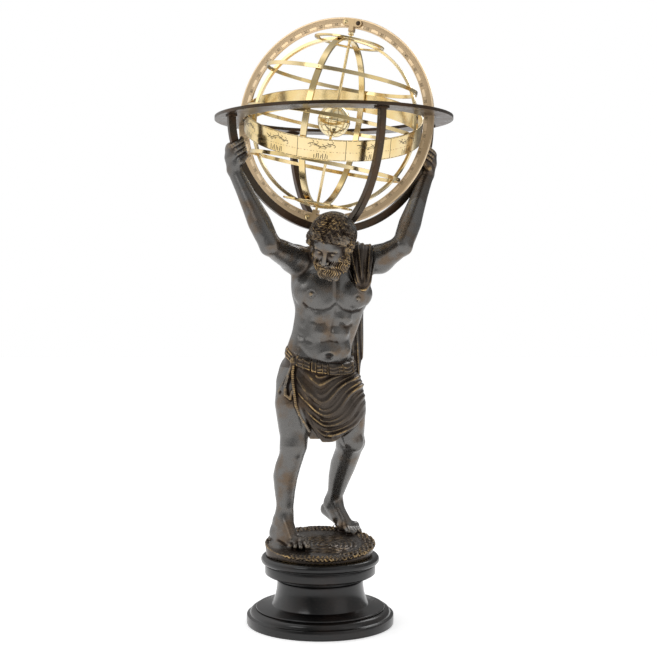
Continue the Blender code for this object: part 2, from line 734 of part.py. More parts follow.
def belt_height(x, y):
    return 249.0 - 0.27 * x + 0.42 * y


def ground_height(y):
    return 13.4 + 0.105 * y


TRUNK = [
    (190, 2, 5, 44, 30, 20), (212, -1, 4, 47, 31, 20), (234, -2.5, 1, 44.5, 29, 20), (250, -2.5, -1, 43, 27, 19),
    (264, 0, -2, 42, 26.5, 18), (280, 5.5, -4, 41.5, 26.5, 16), (300, 10.5, -5, 43, 28, 14),
    (314, 13, -6, 44.5, 30, 12), (332, 14, -5, 46, 31, 10), (351, 16, -3, 47, 29, 10),
    (368, 20, 0, 47, 24, 10), (380, 21, 3, 38, 18, 10),
]


def model_trunk(clay):
    clay.add(column(TRUNK), 4)
    clay.add(bone((-24, -8, 371), (66, 3, 372), 13.5, 13.5), 12)
    clay.add(egg((-32, -15, 371), (18, 18, 17)), 8)
    clay.add(egg((74, 4, 371), (18, 18, 17)), 8)
    clay.add(egg((18, 13, 374), (30, 15, 14)), 10)
    clay.add(egg((-24.5, -3, 341), (12, 20, 30)), 8)
    clay.add(egg((53, 7, 341), (10, 19, 30)), 8)
    clay.add(egg((-7, -23, 331), (27, 15.5, 22.5)), 3)
    clay.add(egg((42, -19, 328), (23, 16.5, 20.5)), 3)
    clay.add(egg((6, -23.5, 300), (14, 9.8, 12)), 6)
    clay.add(egg((27, -21.5, 298), (13, 9.8, 12)), 6)
    clay.add(egg((4, -21, 280), (14.5, 10.6, 10)), 6)
    clay.add(egg((22, -19.6, 278), (13, 10.6, 10)), 6)
    clay.add(egg((11, -15.5, 258), (27, 14.8, 17)), 7)
    clay.cut(bone((19.5, -45, 352), (19.5, -43.5, 316), 4.4, 4.4), 6)
    clay.cut(bone((17, -41, 312), (11, -38, 268), 2.8, 2.8), 5)
    clay.cut(bone((-4, -40, 291), (32, -37, 288), 2.4, 2.4), 6)
    clay.cut(bone((-15, -36, 300), (-24, -33, 276), 2.0, 2.0), 8)
    clay.cut(bone((44, -25, 298), (44, -22, 272), 2.2, 2.2), 6)
    clay.cut(egg((12, -33, 250.5), (4.2, 5, 3.2)), 3)
    clay.add(egg((-8, 17, 352), (18, 12, 22)), 8)
    clay.add(egg((42, 22, 352), (18, 12, 22)), 8)
    clay.cut(bone((18, 36, 368), (4, 35, 245), 4.5, 4.5), 9)
    clay.add(bone((4, -24, 377), (-28, -20, 380), 3.2, 2.4), 6)
    clay.add(bone((36, -20, 376), (66, -8, 380), 3.0, 2.4), 6)
    clay.relief((-34.0, -60.0, 236.0), (66.0, -4.0, 352.0), torso_lines)


# Lines of the torso on its front plane: points across and up, then depth and width of the groove
TORSO_GROOVES = [
    ([(-20, 316), (-15, 311.5), (-7, 308.8), (4, 308.6), (12, 311), (17.6, 316)], 1.5, 1.7),
    ([(21.6, 315), (28, 308.8), (39, 305.8), (49, 307.6), (55, 312)], 1.5, 1.7),
    ([(19.8, 344), (19.9, 318)], 1.5, 2.6),
    ([(19, 310), (14.5, 290), (12.2, 276)], 1.1, 2.8),
    ([(-8, 294), (-2, 292), (5, 293)], 1.0, 2.6),
    ([(25, 290), (31, 287), (38, 289)], 1.3, 2.6),
    ([(2, 268), (11, 269.6), (20, 268)], 1.0, 2.4),
    ([(-16, 270), (-13, 269)], 0.9, 2.4),
    ([(-29, 303), (-22, 297)], 0.4, 2.8),
    ([(-30, 291), (-24, 285)], 0.4, 2.8),
    ([(-29, 279), (-24, 274)], 0.4, 2.8),
    ([(52, 299), (45, 292)], 0.8, 2.2),
    ([(50, 287), (44, 280)], 0.8, 2.2),
    ([(-26, 262), (-14, 249)], 0.7, 3.0),
    ([(34, 258), (25, 247)], 0.7, 3.0),
]
TORSO_SWELLS = [
    (-3, 300, 7, 1.3), (29, 296.5, 6, 2.0), (3, 279, 7, 1.5), (20, 278, 6.5, 1.7), (0, 318, 9, 0.9), (38, 315, 9, 0.9),
    (11, 258, 8, 0.8),
]


def away_from(points, x, z):
    """Distance in the front plane from a line through the points."""
    best = None
    for (ax, az), (bx, bz) in zip(points, points[1:]):
        dx, dz = bx - ax, bz - az
        t = np.clip(((x - ax) * dx + (z - az) * dz) / (dx * dx + dz * dz), 0.0, 1.0)
        gap = np.hypot(x - ax - t * dx, z - az - t * dz)
        best = gap if best is None else np.minimum(best, gap)
    return best


def torso_lines(x, y, z, old):
    x, z = x + 0.0 * z, z + 0.0 * x
    rise = np.zeros_like(x)
    for points, depth, width in TORSO_GROOVES:
        rise -= depth * np.exp(-(away_from(points, x, z) / width) ** 2)
    for cx, cz, size, height in TORSO_SWELLS:
        rise += height * np.exp(-((x - cx) ** 2 + (z - cz) ** 2) / size ** 2)
    for cx, cz in ((-11.3, 327.3), (47.0, 321.5)):
        gap = np.hypot(x - cx, z - cz)
        rise += 1.9 * np.exp(-(gap / 2.5) ** 4) - 0.5 * np.exp(-((gap - 4.2) / 1.2) ** 2)
    hollow = np.hypot((x - 10.3) / 1.6, z - 250.0)
    rise += 0.8 * np.exp(-((hollow - 6.0) / 3.0) ** 2) - 2.6 * np.exp(-(hollow / 3.2) ** 2)
    return rise * (1.0 - fade(y, -12.0, 8.0)) * np.exp(-(old / 5.0) ** 2)


def model_neck(clay):
    clay.add(bone((17, 4, 379), (14, -50, 382), 18.5, 17.5), 10)
    clay.add(bone((-2, -6, 376), (2, -52, 378), 9, 8), 8)


def finger_curl(clay, centre, out, side, start, sweep, reach, thick, lift):
    last = None
    for i in range(11):
        share = i / 10.0
        angle = start + sweep * share
        point = centre + (out * math.cos(angle) + side * math.sin(angle)) * reach + lift * share
        if last is not None:
            clay.add(bone(last, point, thick * (1.08 - 0.2 * share), thick * (1.06 - 0.2 * share)), 0.7)
        last = point


def grip(turn, below):
    """Centre and directions of a fist on a cradle arc, in the figure's own unit."""
    ground = Vector((0.0, 0.0, GROUND_Z))
    middle = 0.5 * (HOOP_INNER + HOOP_OUTER)
    here = (hoop_point(turn, below, middle) - ground) / UNIT
    on = (hoop_point(turn, below + 0.01, middle) - ground) / UNIT
    out = (hoop_point(turn, below, middle + 0.01) - ground) / UNIT - here
    down = on - here
    here, out, down = (np.array(v, np.float64) for v in (here, out, down))
    out /= np.linalg.norm(out)
    down /= np.linalg.norm(down)
    return here, out, down


def model_hand(clay, turn, below, elbow, front):
    here, out, down = grip(turn, below)
    side = np.cross(out, down)
    if side[1] * front > 0:
        side = -side
    palm = here + out * 7.0 - side * 1.0
    axes = np.stack((out, side, down))
    clay.add(egg(palm, (7.0, 10.5, 12.5), axes), 3)
    clay.add(egg(palm + side * 4.0 - out * 1.0, (7.5, 8.0, 12.0), axes), 3)
    for i in range(4):
        centre = here + down * (5.7 * i - 4.6)
        finger_curl(clay, centre, out, side, 0.05, 2.9, 10.4 - 0.25 * i, 3.3 - 0.1 * abs(i - 1), down * -8.5)
    root = palm + down * 15.0 + side * 6.0
    knuckle = here + side * 10.6 + out * 3.5 + down * 13.5
    clay.add(bone(root, knuckle, 5.4, 4.2), 2.5)
    clay.add(bone(knuckle, here + side * 9.4 - out * 6.0 + down * 8.0, 4.1, 3.3), 1.5)
    wrist = palm + down * 20.0 + out * 2.5 - side * 0.5
    return wrist


def model_arm(clay, shoulder, elbow, wrist, back):
    shoulder, elbow, wrist = (np.array(v, np.float64) for v in (shoulder, elbow, wrist))
    upper = [(0, 17, 17, 0, 0), (0.3, 16, 16, 0, 0), (0.6, 14.6, 14.6, 0, 0), (1, 12, 12, 0, 0)]
    clay.add(limb(shoulder, elbow, (0, 0, 1), upper), 7)
    fore = [
        (0, 12, 12, 0, 0), (0.12, 13.4, 13.2, 0, 0), (0.3, 14.2, 13.2, 0, 0), (0.5, 12.2, 11.6, 0, 0),
        (0.72, 10.4, 9.8, 0, 0), (0.92, 9.5, 8.8, 0, 0), (1, 9.5, 9.0, 0, 0),
    ]
    clay.add(limb(elbow, wrist, (1, 0, 0), fore), 6)
    point = elbow + (elbow - wrist) / np.linalg.norm(elbow - wrist) * 4.5 + np.array((back, 2.0, 0.0))
    clay.add(egg(point, (6.8, 6.8, 6.2)), 6)


def model_arms(clay):
    left_wrist = model_hand(clay, 180.0 + 45.0, LEFT_GRIP, None, 1.0)
    right_wrist = model_hand(clay, 45.0, RIGHT_GRIP, None, 1.0)
    palm_left, out, down = grip(225.0, LEFT_GRIP)
    left_elbow = np.array((-60.5, -66.0, 386.5))
    right_elbow = np.array((102.5, -16.0, 388.0))
    model_arm(clay, (-32, -16, 371), left_elbow, left_wrist, -3.0)
    model_arm(clay, (74, 4, 371), right_elbow, right_wrist, 3.0)
    clay.add(bone(left_wrist, palm_left + out * 9.0 + down * 6.0, 8.4, 9.0), 4)
    palm_right, out, down = grip(45.0, RIGHT_GRIP)
    clay.add(bone(right_wrist, palm_right + out * 9.0 + down * 6.0, 8.4, 9.0), 4)
    clay.cut(bone((-58, -72, 408), (-80, -74, 452), 1.6, 1.2), 5)
    clay.cut(bone((112, -22, 408), (122, -8, 448), 1.6, 1.2), 5)


def toe_row(clay, ball_a, ball_b, tips, radii):
    for i, (tip, r) in enumerate(zip(tips, radii)):
        share = i / (len(tips) - 1.0)
        root = np.array(ball_a) * (1 - share) + np.array(ball_b) * share
        tip = np.array(tip)
        knuckle = root * 0.42 + tip * 0.58 + np.array((0, 0, 1.3))
        clay.add(bone(root, knuckle, r * 1.05, r), 2.0)
        clay.add(bone(knuckle, tip, r, r * 0.92), 1.0)


def model_legs(clay):
    left_knee, left_ankle = (-33.4, -12, 138), (-45.9, 8, 44)
    thigh = [
        (0, 27, 27, 0, 0), (0.35, 25.5, 25.5, -1.8, 0), (0.7, 20.5, 20.5, -0.6, 0), (0.9, 17.2, 17.2, 0, 0),
        (1, 15, 15, 0, 0),
    ]
    shank = [
        (0, 16.4, 16.5, 0, 0), (0.14, 15.6, 16.5, -0.8, -1), (0.3, 15.9, 17.6, -3.6, -3),
        (0.45, 15.6, 17.2, -5.0, -3.5), (0.62, 13.4, 14.5, -3.6, -2.5), (0.8, 11.2, 11.8, -1.2, -0.8),
        (0.92, 10.6, 11, 0, 0), (1, 11.0, 12, 0, 0),
    ]
    clay.add(limb((-28, -3, 214), left_knee, (1, 0, 0), thigh), 6)
    clay.add(limb(left_knee, left_ankle, (1, 0, 0), shank), 6)
    clay.add(egg((-30, -20, 142), (9, 8, 16)), 6)
    clay.add(egg((-38, 6, 218), (16, 24, 32)), 6)
    clay.add(egg((-53, 14, 28), (10, 13, 14)), 8)
    clay.add(bone((-46, 6, 48), (-35, -15, 21), 9.0, 8.6), 8)
    clay.add(bone((-51, 10, 40), (-46, -4, 25), 8.0, 8.0), 6)
    clay.add(bone((-55, 10, 23), (-42, -10, 18), 9, 7.5), 6)
    clay.add(bone((-43, -8, 18.5), (-23, -17, 19), 8, 8), 5)
    tips = [(-41.5, -19, 14.6), (-36.6, -24.5, 14.4), (-30.6, -29, 14.4), (-23.8, -32, 14.4), (-15.4, -32.5, 15.4)]
    toe_row(clay, (-44, -8, 17), (-20, -18, 18), tips, (2.8, 2.9, 3.0, 3.1, 4.2))

    right_knee, right_ankle = (39, 24, 138), (17, 71, 56)
    thigh = [
        (0, 27, 27, 0, 0), (0.35, 26, 26, 1, 0), (0.7, 21.5, 21.5, 0.5, 0), (0.9, 18.4, 18.4, 0, 0),
        (1, 17.5, 17.5, 0, 0),
    ]
    shank = [
        (0, 17, 16.5, 0, 0), (0.2, 16.4, 17.5, 0.5, -2), (0.42, 16.4, 17.5, -0.2, -4), (0.62, 14.2, 14.5, -0.5, -2.5),
        (0.85, 10.8, 11.2, 0.3, 0), (1, 9.8, 10.5, 0, 0),
    ]
    clay.add(limb((27, 8, 212), right_knee, (1, 0, 0), thigh), 6)
    clay.add(limb(right_knee, right_ankle, (1, 0, 0), shank), 6)
    clay.add(egg((45, 10, 139), (9.5, 7, 11)), 5)
    clay.add(egg((35, 7, 144), (7, 6, 9)), 5)
    clay.add(egg((9.5, 70, 50), (4, 5, 6.5)), 8)
    clay.add(egg((24, 66, 52), (4, 5, 6.5)), 8)
    clay.add(bone((9.5, 82, 42), (31, 57, 27), 9.2, 7.4), 5)
    clay.add(bone((17.5, 69, 58), (35.5, 50, 26.5), 7.8, 7.0), 7)
    clay.add(bone((13.0, 70, 50), (22.0, 62, 35), 7.0, 6.5), 5)
    clay.add(bone((31, 51, 24.5), (45, 59, 24), 7.2, 6.4), 5)
    tips = [(36.6, 35.5, 21.2), (41.6, 36.5, 20.6), (45.2, 39, 20.6), (48.6, 42, 20.6), (51.4, 46, 20.6)]
    toe_row(clay, (32, 50, 24), (46, 58, 23), tips, (4.0, 3.1, 3.0, 2.9, 2.7))


def model_ground(clay):
    def disc(x, y, z):
        r = np.sqrt(x * x + y * y)
        wall = r - (65.5 + 0.2 * np.minimum(z, 14.0))
        top = z - ground_height(y)
        return np.maximum(np.maximum(wall, top), -z) + 0.0 * x

    clay.add((disc, np.array((-72.0, -72.0, 0.0)), np.array((72.0, 72.0, 30.0))), 3)
    clay.add(egg((-49, -8, 4), (17.5, 25, 15.5)), 8)
    clay.cut(bone((-66, -3, 26.5), (-42, -25, 15.5), 0.9, 0.9), 1.5)

    def border(x, y, z, old):
        r = np.sqrt(x * x + y * y)
        ring = fade(r, 54.0, 7.0) * (1.0 - fade(r, 70.0, 3.0))
        face = np.arctan2(y, x)
        bare = np.exp(-((np.abs(face + 2.6) / 0.62) ** 2))
        top = fade(z, ground_height(y) - 2.0, 2.5)
        lump = 1.0 - np.abs(gyroid(x + 1.5 * np.sin(y * 0.4), y, z * 0.8, 10.5))
        lump = lump + 0.7 * gyroid(x, y + 3.0, z, 5.4)
        foot = np.exp(-((((x - 38.0) / 19.0) ** 2 + ((y - 49.0) / 15.0) ** 2) ** 2))
        top = top * (1.0 - fade(z, ground_height(y) + 4.0, 1.5)) * (1.0 - foot)
        return ring * top * (1.0 - bare) * (1.1 + 1.5 * lump) * np.exp(-(old / 4.0) ** 2)

    clay.relief((-72.0, -72.0, 2.0), (72.0, 72.0, 32.0), border)

    def swirl(x, y, z, old):
        dx, dy = x - 7.0, (y + 5.0) * 1.1
        r = np.sqrt(dx * dx + dy * dy)
        wave = np.sin(r * 1.05 + np.arctan2(dy, dx))
        keep = (1.0 - fade(r, 42.0, 16.0)) * (1.0 - fade(z, ground_height(y) + 2.5, 1.5))
        return 0.5 * (wave + 0.7 * gyroid(x, y, z, 13.0)) * keep * np.exp(-(old / 3.0) ** 2)

    clay.relief((-40.0, -55.0, 4.0), (56.0, 50.0, 24.0), swirl)


SKIRT = [
    (138, 7, 2, 17, 22, 9), (152, 9, 4, 30, 29, 12), (162, 10, 6, 41, 33, 14), (172, 9, 7, 46, 36, 16),
    (185, 5, 6, 51.5, 37, 18), (203, 1.5, 4, 53, 36.5, 20), (222, 0, 2, 49, 34.5, 20), (240, -1, 0, 45, 31.5, 20),
    (256, -1, 0, 41.5, 29, 19),
]


def model_skirt(clay):
    fn, low, high = column(SKIRT)

    def cloth(x, y, z):
        body = fn(x, y, z)
        rise = 0.9 * np.maximum(x - 8.0, 0.0) ** 1.0 * 0.62 + 0.0 * z
        front_hem = 143.0 + 0.040 * np.maximum(x - 10.0, 0.0) ** 1.72
        side_hem = 184.0 + 0.15 * (y + 10.0)
        mix = fade(-x, 20.0, 16.0)
        behind = fade(y, 8.0, 24.0) * 18.0
        hem = front_hem * (1.0 - mix) + side_hem * mix + behind * (1.0 - mix)
        seam = -36.0 + np.maximum(222.0 - z, 0.0) ** 1.45 * 0.068
        open_front = np.where(y < 2.0, (seam - x) * 0.85, -30.0)
        open_front = np.maximum(np.minimum(open_front, -y - 1.0), -30.0)
        return np.maximum(np.maximum(body, hem - z), np.maximum(open_front, z - belt_height(x, y)))

    clay.add((cloth, low, high), 2.0)

    def folds(x, y, z, old):
        dx = x - (8.0 - 0.10 * (z - 150.0))
        left_climb = 1.25 * (np.sqrt(dx * dx + 90.0) - 9.5)
        right_climb = 0.7 * (np.sqrt(dx * dx + 150.0) - 12.2)
        climb = np.where(dx < 0.0, left_climb, right_climb)
        phase = (z - climb - 144.0) / 16.4 + 0.26 * np.sin(z * 0.075 + x * 0.045)
        saw = phase - np.floor(phase)
        deep = 0.75 + 0.5 * np.sin(1.7 * np.floor(phase) + 0.085 * x)
        ridge = np.exp(-((saw - 0.26) / 0.19) ** 2) + 0.4 * np.exp(-((saw - 0.68) / 0.1) ** 2) * (dx > -6.0) - 0.45
        front = 1.0 - fade(y, 16.0, 26.0)
        edge = (1.0 - 0.35 * fade(x, 46.0, 14.0)) * (1.0 - 0.65 * fade(-dx, 16.0, 10.0))
        seam = -33.0 + np.maximum(222.0 - z, 0.0) ** 1.45 * 0.068
        panel = 1.5 * np.exp(-((x - seam - 9.0 - 0.05 * (222.0 - z)) / 3.6) ** 2) * (1.0 - fade(z, 214.0, 10.0))
        keep = fade(x - seam, 2.0, 6.0) * (1.0 - fade(z, belt_height(x, y) - 7.0, 5.0)) * fade(z, 141.0, 3.0)
        leg_free = fade(z - 143.0 - 0.040 * np.maximum(x - 10.0, 0.0) ** 1.72, 0.0, 4.0)
        back = np.sin((x - 0.25 * (z - 200.0)) * 0.52 + 0.6 * np.sin(z * 0.07)) * 0.8
        rise = (3.5 * deep * ridge * edge + panel) * front + 1.6 * back * (1.0 - front)
        return keep * leg_free * rise * np.exp(-(old / 6.0) ** 2)

    clay.relief((-62.0, -48.0, 139.0), (68.0, 50.0, 262.0), folds)

    def belt(x, y, z):
        body = fn(x, y, z)
        middle = belt_height(x, y) + 1.0
        thick = body - 2.2
        height = np.abs(z - middle) - 6.3
        return np.sqrt(np.maximum(thick + 2.5, 0) ** 2 + np.maximum(height + 2.5, 0) ** 2) - 2.5 + np.minimum(
            np.maximum(thick + 2.5, height + 2.5), 0.0)

    clay.add((belt, np.array((-56.0, -46.0, 215.0)), np.array((56.0, 50.0, 285.0))), 1.5)

    def pleats(x, y, z, old):
        along = np.arctan2(y - 1.0, x + 1.0) * 44.0
        band = 1.0 - fade(np.abs(z - belt_height(x, y) - 1.0), 6.5, 2.0)
        cross = np.cos(2.0 * math.pi * (along / 13.0 + 0.3 * np.sin(along * 0.21 + 0.8)))
        bundle = np.cos(2.0 * math.pi * (z - belt_height(x, y)) / 4.2 + 1.5 * np.sin(along * 0.23)) * 0.55
        knot = np.where(cross > 0.82, 0.7, 0.0)
        return band * (0.75 * bundle * (cross < 0.7) - 1.2 * (np.abs(cross - 0.76) < 0.12) + knot) * np.exp(-(old / 4.0) ** 2)

    clay.relief((-56.0, -46.0, 212.0), (56.0, 50.0, 285.0), pleats)


CORD = [
    (-32.5, -29, 243), (-34, -32.5, 231), (-33.8, -34, 219), (-32, -35, 204), (-30, -36, 190),
    (-25.5, -37, 179), (-21, -37, 171), (-17.5, -36.5, 165.5), (-13.5, -35, 158),
]


def model_cords(clay):
    clay.add(egg((-32.5, -27.5, 244), (5.2, 4.5, 6.0)), 1.5)
    for a, b in zip(CORD, CORD[1:]):
        clay.add(bone(a, b, 1.6, 1.6), 0.8)
    loop = [(-34.5, -29, 239), (-40, -30, 226), (-43.5, -30, 214), (-43, -31, 203), (-37, -33.5, 198.5), (-34.5, -34, 207)]
    for a, b in zip(loop, loop[1:]):
        clay.add(bone(a, b, 1.9, 1.9), 1.0)
    for dx, dz in ((-9, 196), (-14, 192), (-19, 190)):
        clay.add(bone((-34, -27, 240), (-33 + dx, -24 - 0.12 * dx, dz + 16), 2.2, 1.4), 2.0)


def model_mantle(clay):
    """Cloth over the viewer's right shoulder, looped in front and hanging down the back."""
    loop = [
        (0, 13.5, 6, 0, 0), (0.35, 13.6, 7, 0, 0), (0.65, 12.4, 7, 0.3, 0), (0.85, 9.0, 5.6, 1, 0), (1, 3.5, 2.5, 1.2, 0),
    ]
    clay.add(bone((49, -20, 383), (48, 18, 378), 9.5, 9.5), 4)
    clay.add(limb((51.5, -23, 386), (52.5, -33.5, 333), (1, 0.3, 0), loop), 2)
    tail = [(0, 12, 6, 0, 0), (0.4, 12.5, 6, 0, 0), (0.8, 12, 5.5, 0, 0), (1, 9.5, 4.5, 0, 0)]
    clay.add(limb((46, 20, 376), (45, 25, 300), (1, 0.35, 0), tail), 3)
    clay.add(limb((45, 25, 306), (42, 24.5, 226), (1, 0.45, 0), tail), 3)

    def creases(x, y, z, old):
        foot_x, foot_z = 54.5, 334.0
        reach = np.maximum(z - foot_z, 0.0)
        spread = (x - foot_x + 0.09 * reach * (x < foot_x)) / (3.5 + 0.2 * reach + 3.2 * np.minimum(reach / 9.0, 1.0))
        wave = np.cos(2.0 * math.pi * (spread * 1.55 + 0.004 * reach + 0.12))
        wave += 0.4 * np.cos(2.0 * math.pi * (spread * 3.3 - 0.01 * reach))
        low = np.hypot((x - 53.0) / 11.5, (z - 347.0) / 17.0)
        rim = np.exp(-((low - 0.86) / 0.13) ** 2) * (1.0 - fade(z, 350.0, 16.0))
        hollow = np.exp(-((x - 51.0) / 3.6) ** 2 - ((z - 346.0) / 9.0) ** 2)
        keep = fade(z, 328.0, 3.0) * (1.0 - fade(np.abs(x - 52.0), 14.5, 3.0)) * (1.0 - fade(y, 2.0, 10.0))
        long_folds = wave * fade(z, 346.0, 16.0)
        return (1.35 * long_folds + 1.5 * rim - 2.4 * hollow) * keep * np.exp(-(old / 5.0) ** 2)

    clay.relief((32.0, -50.0, 324.0), (72.0, 10.0, 402.0), creases)

    def back(x, y, z, old):
        wave = np.cos((x - 46.0 + 0.05 * (z - 300.0)) * 0.95)
        keep = fade(y, 12.0, 14.0) * (1.0 - fade(np.abs(x - 46.0), 13.0, 3.0))
        return 1.0 * wave * keep * np.exp(-(old / 5.0) ** 2)

    clay.relief((28.0, 8.0, 214.0), (64.0, 46.0, 396.0), back)


def model_head(clay):
    clay.add(head_egg((0, -3, 5), (24.5, 26, 23.5)), 5)
    clay.add(head_egg((0, 6.5, -10), (18.5, 17, 23)), 5)
    clay.add(head_bone((-11, 18.5, 4.6), (11, 18.5, 4.6), 4.2, 4.2), 3.5)
    for side in (-1, 1):
        clay.cut(head_egg((8.6 * side, 24.3, -1.6), (6.0, 5.0, 3.9)), 3.0)
        clay.add(head_egg((8.2 * side, 16.6, -2.0), (5.2, 5.0, 4.2)), 0.8)
        clay.add(head_egg((12.5 * side, 14.5, -9), (6.4, 6.6, 5.6)), 4)
        clay.add(head_bone((3.4 * side, 22.3, 3.9), (13.5 * side, 18.2, 3.4), 1.5, 1.1), 1.6)
    clay.add(head_bone((0, 21.5, 2.5), (0, 28.4, -11.6), 2.3, 2.9), 2.4)
    for side in (-1, 1):
        clay.add(head_egg((3.3 * side, 25.2, -12.2), (2.4, 2.9, 2.2)), 1.2)
    clay.add(head_egg((0, 23.0, -21.6), (5.0, 2.6, 1.9)), 1.2)
    clay.add(head_egg((1.5, 12.5, -29), (17, 12.5, 15)), 5)
    for side in (-1, 1):
        clay.add(head_egg(((14.5 + 2.2 * side) * side, 6 - 1.5 * side, -20), (8.6, 10, 17)), 4)
        clay.add(head_egg(((5.5 + 2.0 * side) * side, 14, -35.5), (9.0, 8.6, 9.4)), 2.4)
        clay.add(head_bone((1.6 * side, 25.0, -16.6), (8.0 * side, 22.4, -17.6), 2.5, 2.5), 1.6)
        clay.add(head_bone((8.0 * side, 22.4, -17.6), (14.0 * side, 17.0, -21.5), 2.5, 1.6), 1.6)
    hair = head_egg((0, -7.5, 8.0), (28.6, 27, 27.4))
    clay.add(hair, 2.0)
    for place, radii in (
        ((-12.5, 12.0, 17.5), (12.0, 9.0, 7.5)), ((13.0, 12.5, 16.5), (14.0, 9.5, 8.5)),
        ((-24.0, 2.0, 4.0), (6.5, 11.5, 12.0)), ((23.0, 4.0, 4.0), (6.5, 11.0, 11.0)),
        ((17.5, -11.0, -6.0), (6.0, 10.0, 9.0)), ((-17.5, -11.0, -6.0), (6.0, 10.0, 9.0)),
        ((0.0, -18.0, -4.0), (22.0, 12.0, 16.0)),
    ):
        clay.add(head_egg(place, radii), 2.5)
    clay.cut(head_bone((-4.0, 25.0, 18.0), (-2.0, -2.0, 36.0), 2.2, 1.6), 3.5)

    def locks(x, y, z, old):
        s, f, u = head_space(x, y, z)
        scalp = np.maximum(fade(u, 13.0 - 0.35 * np.maximum(np.abs(s) - 14.0, 0.0), 3.0), fade(-f, -6.0, 8.0))
        sides = fade(np.abs(s), 19.5, 4.0) * (1.0 - fade(f, 13.0, 5.0))
        hairy = np.maximum(scalp, sides) * fade(u, -24.0, 8.0)
        right = 0.62 * s + 0.9 * u - 0.7 * f + 1.7 * np.sin(0.3 * (s - 0.6 * u) + 0.08 * f)
        left = 0.15 * s + 0.95 * u - 0.45 * f + 1.3 * np.sin(0.36 * s + 0.4)
        nape = s + 1.8 * np.sin(0.33 * u + 0.2 * f)
        flow = np.where(s > -2.0, right, left)
        behind = fade(-f, 4.0, 6.0)
        flow = flow * (1.0 - behind) + nape * behind
        strands = 0.55 * np.sin(flow * 0.62) + 0.5 * np.sin(flow * STRAND_PITCH + 0.9 * np.sin(flow * 0.7))
        strands += 0.4 * gyroid(s, 1.4 * f, u, 9.0) + 0.35 * gyroid(s + 2.0, f, 1.2 * u, 5.0)
        beard = fade(-u, 16.0 - 0.6 * np.abs(s), 4.0) * fade(f, -8.0, 10.0) * fade(u, -50.0, 2.0)
        lip = np.exp(-((u + 17.3 + 0.01 * s * s) / 2.6) ** 2) * fade(f, 15.0, 5.0) * (np.abs(s) < 15.0)
        fall = s * (1.0 + 0.008 * (u + 20.0)) + 1.5 * np.sin(0.38 * u + 0.2 * np.abs(s))
        tuft = 0.6 * np.sin(fall * 0.75) + 0.55 * np.sin(fall * STRAND_PITCH) + 0.3 * np.sin(u * 0.6 + 0.5 * fall)
        mouth = np.exp(-((u + 21.4) / 2.4) ** 2 - (s / 6.0) ** 2) * fade(f, 18.0, 4.0)
        rise = 0.85 * hairy * strands + 0.8 * np.maximum(beard * (1.0 - hairy) * (1.0 - mouth), 0.5 * lip) * tuft
        near = 1.0 - fade(np.sqrt(s * s + (0.9 * f) ** 2 + (0.72 * (u + 8.0)) ** 2), 34.0, 3.0)
        return near * rise * np.exp(-(old / 3.5) ** 2)

    clay.relief((-28.0, -118.0, 332.0), (56.0, -24.0, 440.0), locks)


STRAND_PITCH = 1.5
LEFT_GRIP = math.radians(18.5)
RIGHT_GRIP = math.radians(17.3)


def model_figure(clay):
    model_trunk(clay)
    model_legs(clay)
    model_ground(clay)
    model_skirt(clay)
    model_cords(clay)
    model_neck(clay)
    model_arms(clay)
    model_mantle(clay)
    model_head(clay)


def figure():
    clay = Clay((-128, -118, -5.2), (166, 108, 524), FIGURE_CELL)
    model_figure(clay)
    points, quads = largest_body(*clay.skin())
    points[:, 2] = np.maximum(points[:, 2], 0.0)
    mesh = bpy.data.meshes.new("atlas_figure")
    mesh.from_pydata([tuple(p) for p in points * UNIT], [], quads.tolist())
    mesh.validate()
    thing = link("atlas_figure", mesh, BRONZE)
    thing.location = (0.0, 0.0, GROUND_Z)
    thin = thing.modifiers.new("thin", "DECIMATE")
    thin.ratio = min(1.0, FIGURE_TRIANGLES / (2.0 * len(quads)))
    depth = CRADLE_DEPTH + 2.0 * GRIP_GAP
    for turn, lap in ((45.0, 0.0), (-45.0, CRADLE_LAP)):
        room = band(
            "cradle_room", HOOP_INNER - GRIP_GAP + depth + lap, HOOP_INNER - GRIP_GAP + lap,
            -0.5 * CRADLE_WIDTH - GRIP_GAP, 0.5 * CRADLE_WIDTH + GRIP_GAP, STAND_RING_STEPS, None,
        )
        out = hoop_direction(turn)
        room.matrix_world = frame_from(out, out.cross(Vector((0, 0, 1))), SPHERE)
        boolean(thing, as_cutter(room))


plinth()
figure()
sphere_stand()
bracket("pole_bracket_north", 1)
bracket("pole_bracket_south", -1)
cage()
for shape in PARTS.objects:
    if shape.type == "MESH":
        shape.data.shade_smooth()
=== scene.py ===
"""Looks of an armillary sphere lifted by Atlas: the finely modelled figure, engraved brass rings, dark hoops,
a lacquered plinth, studio light and the camera."""
import json
import math
from functools import reduce

import bmesh
import bpy
import numpy as np
from mathutils import Matrix, Vector


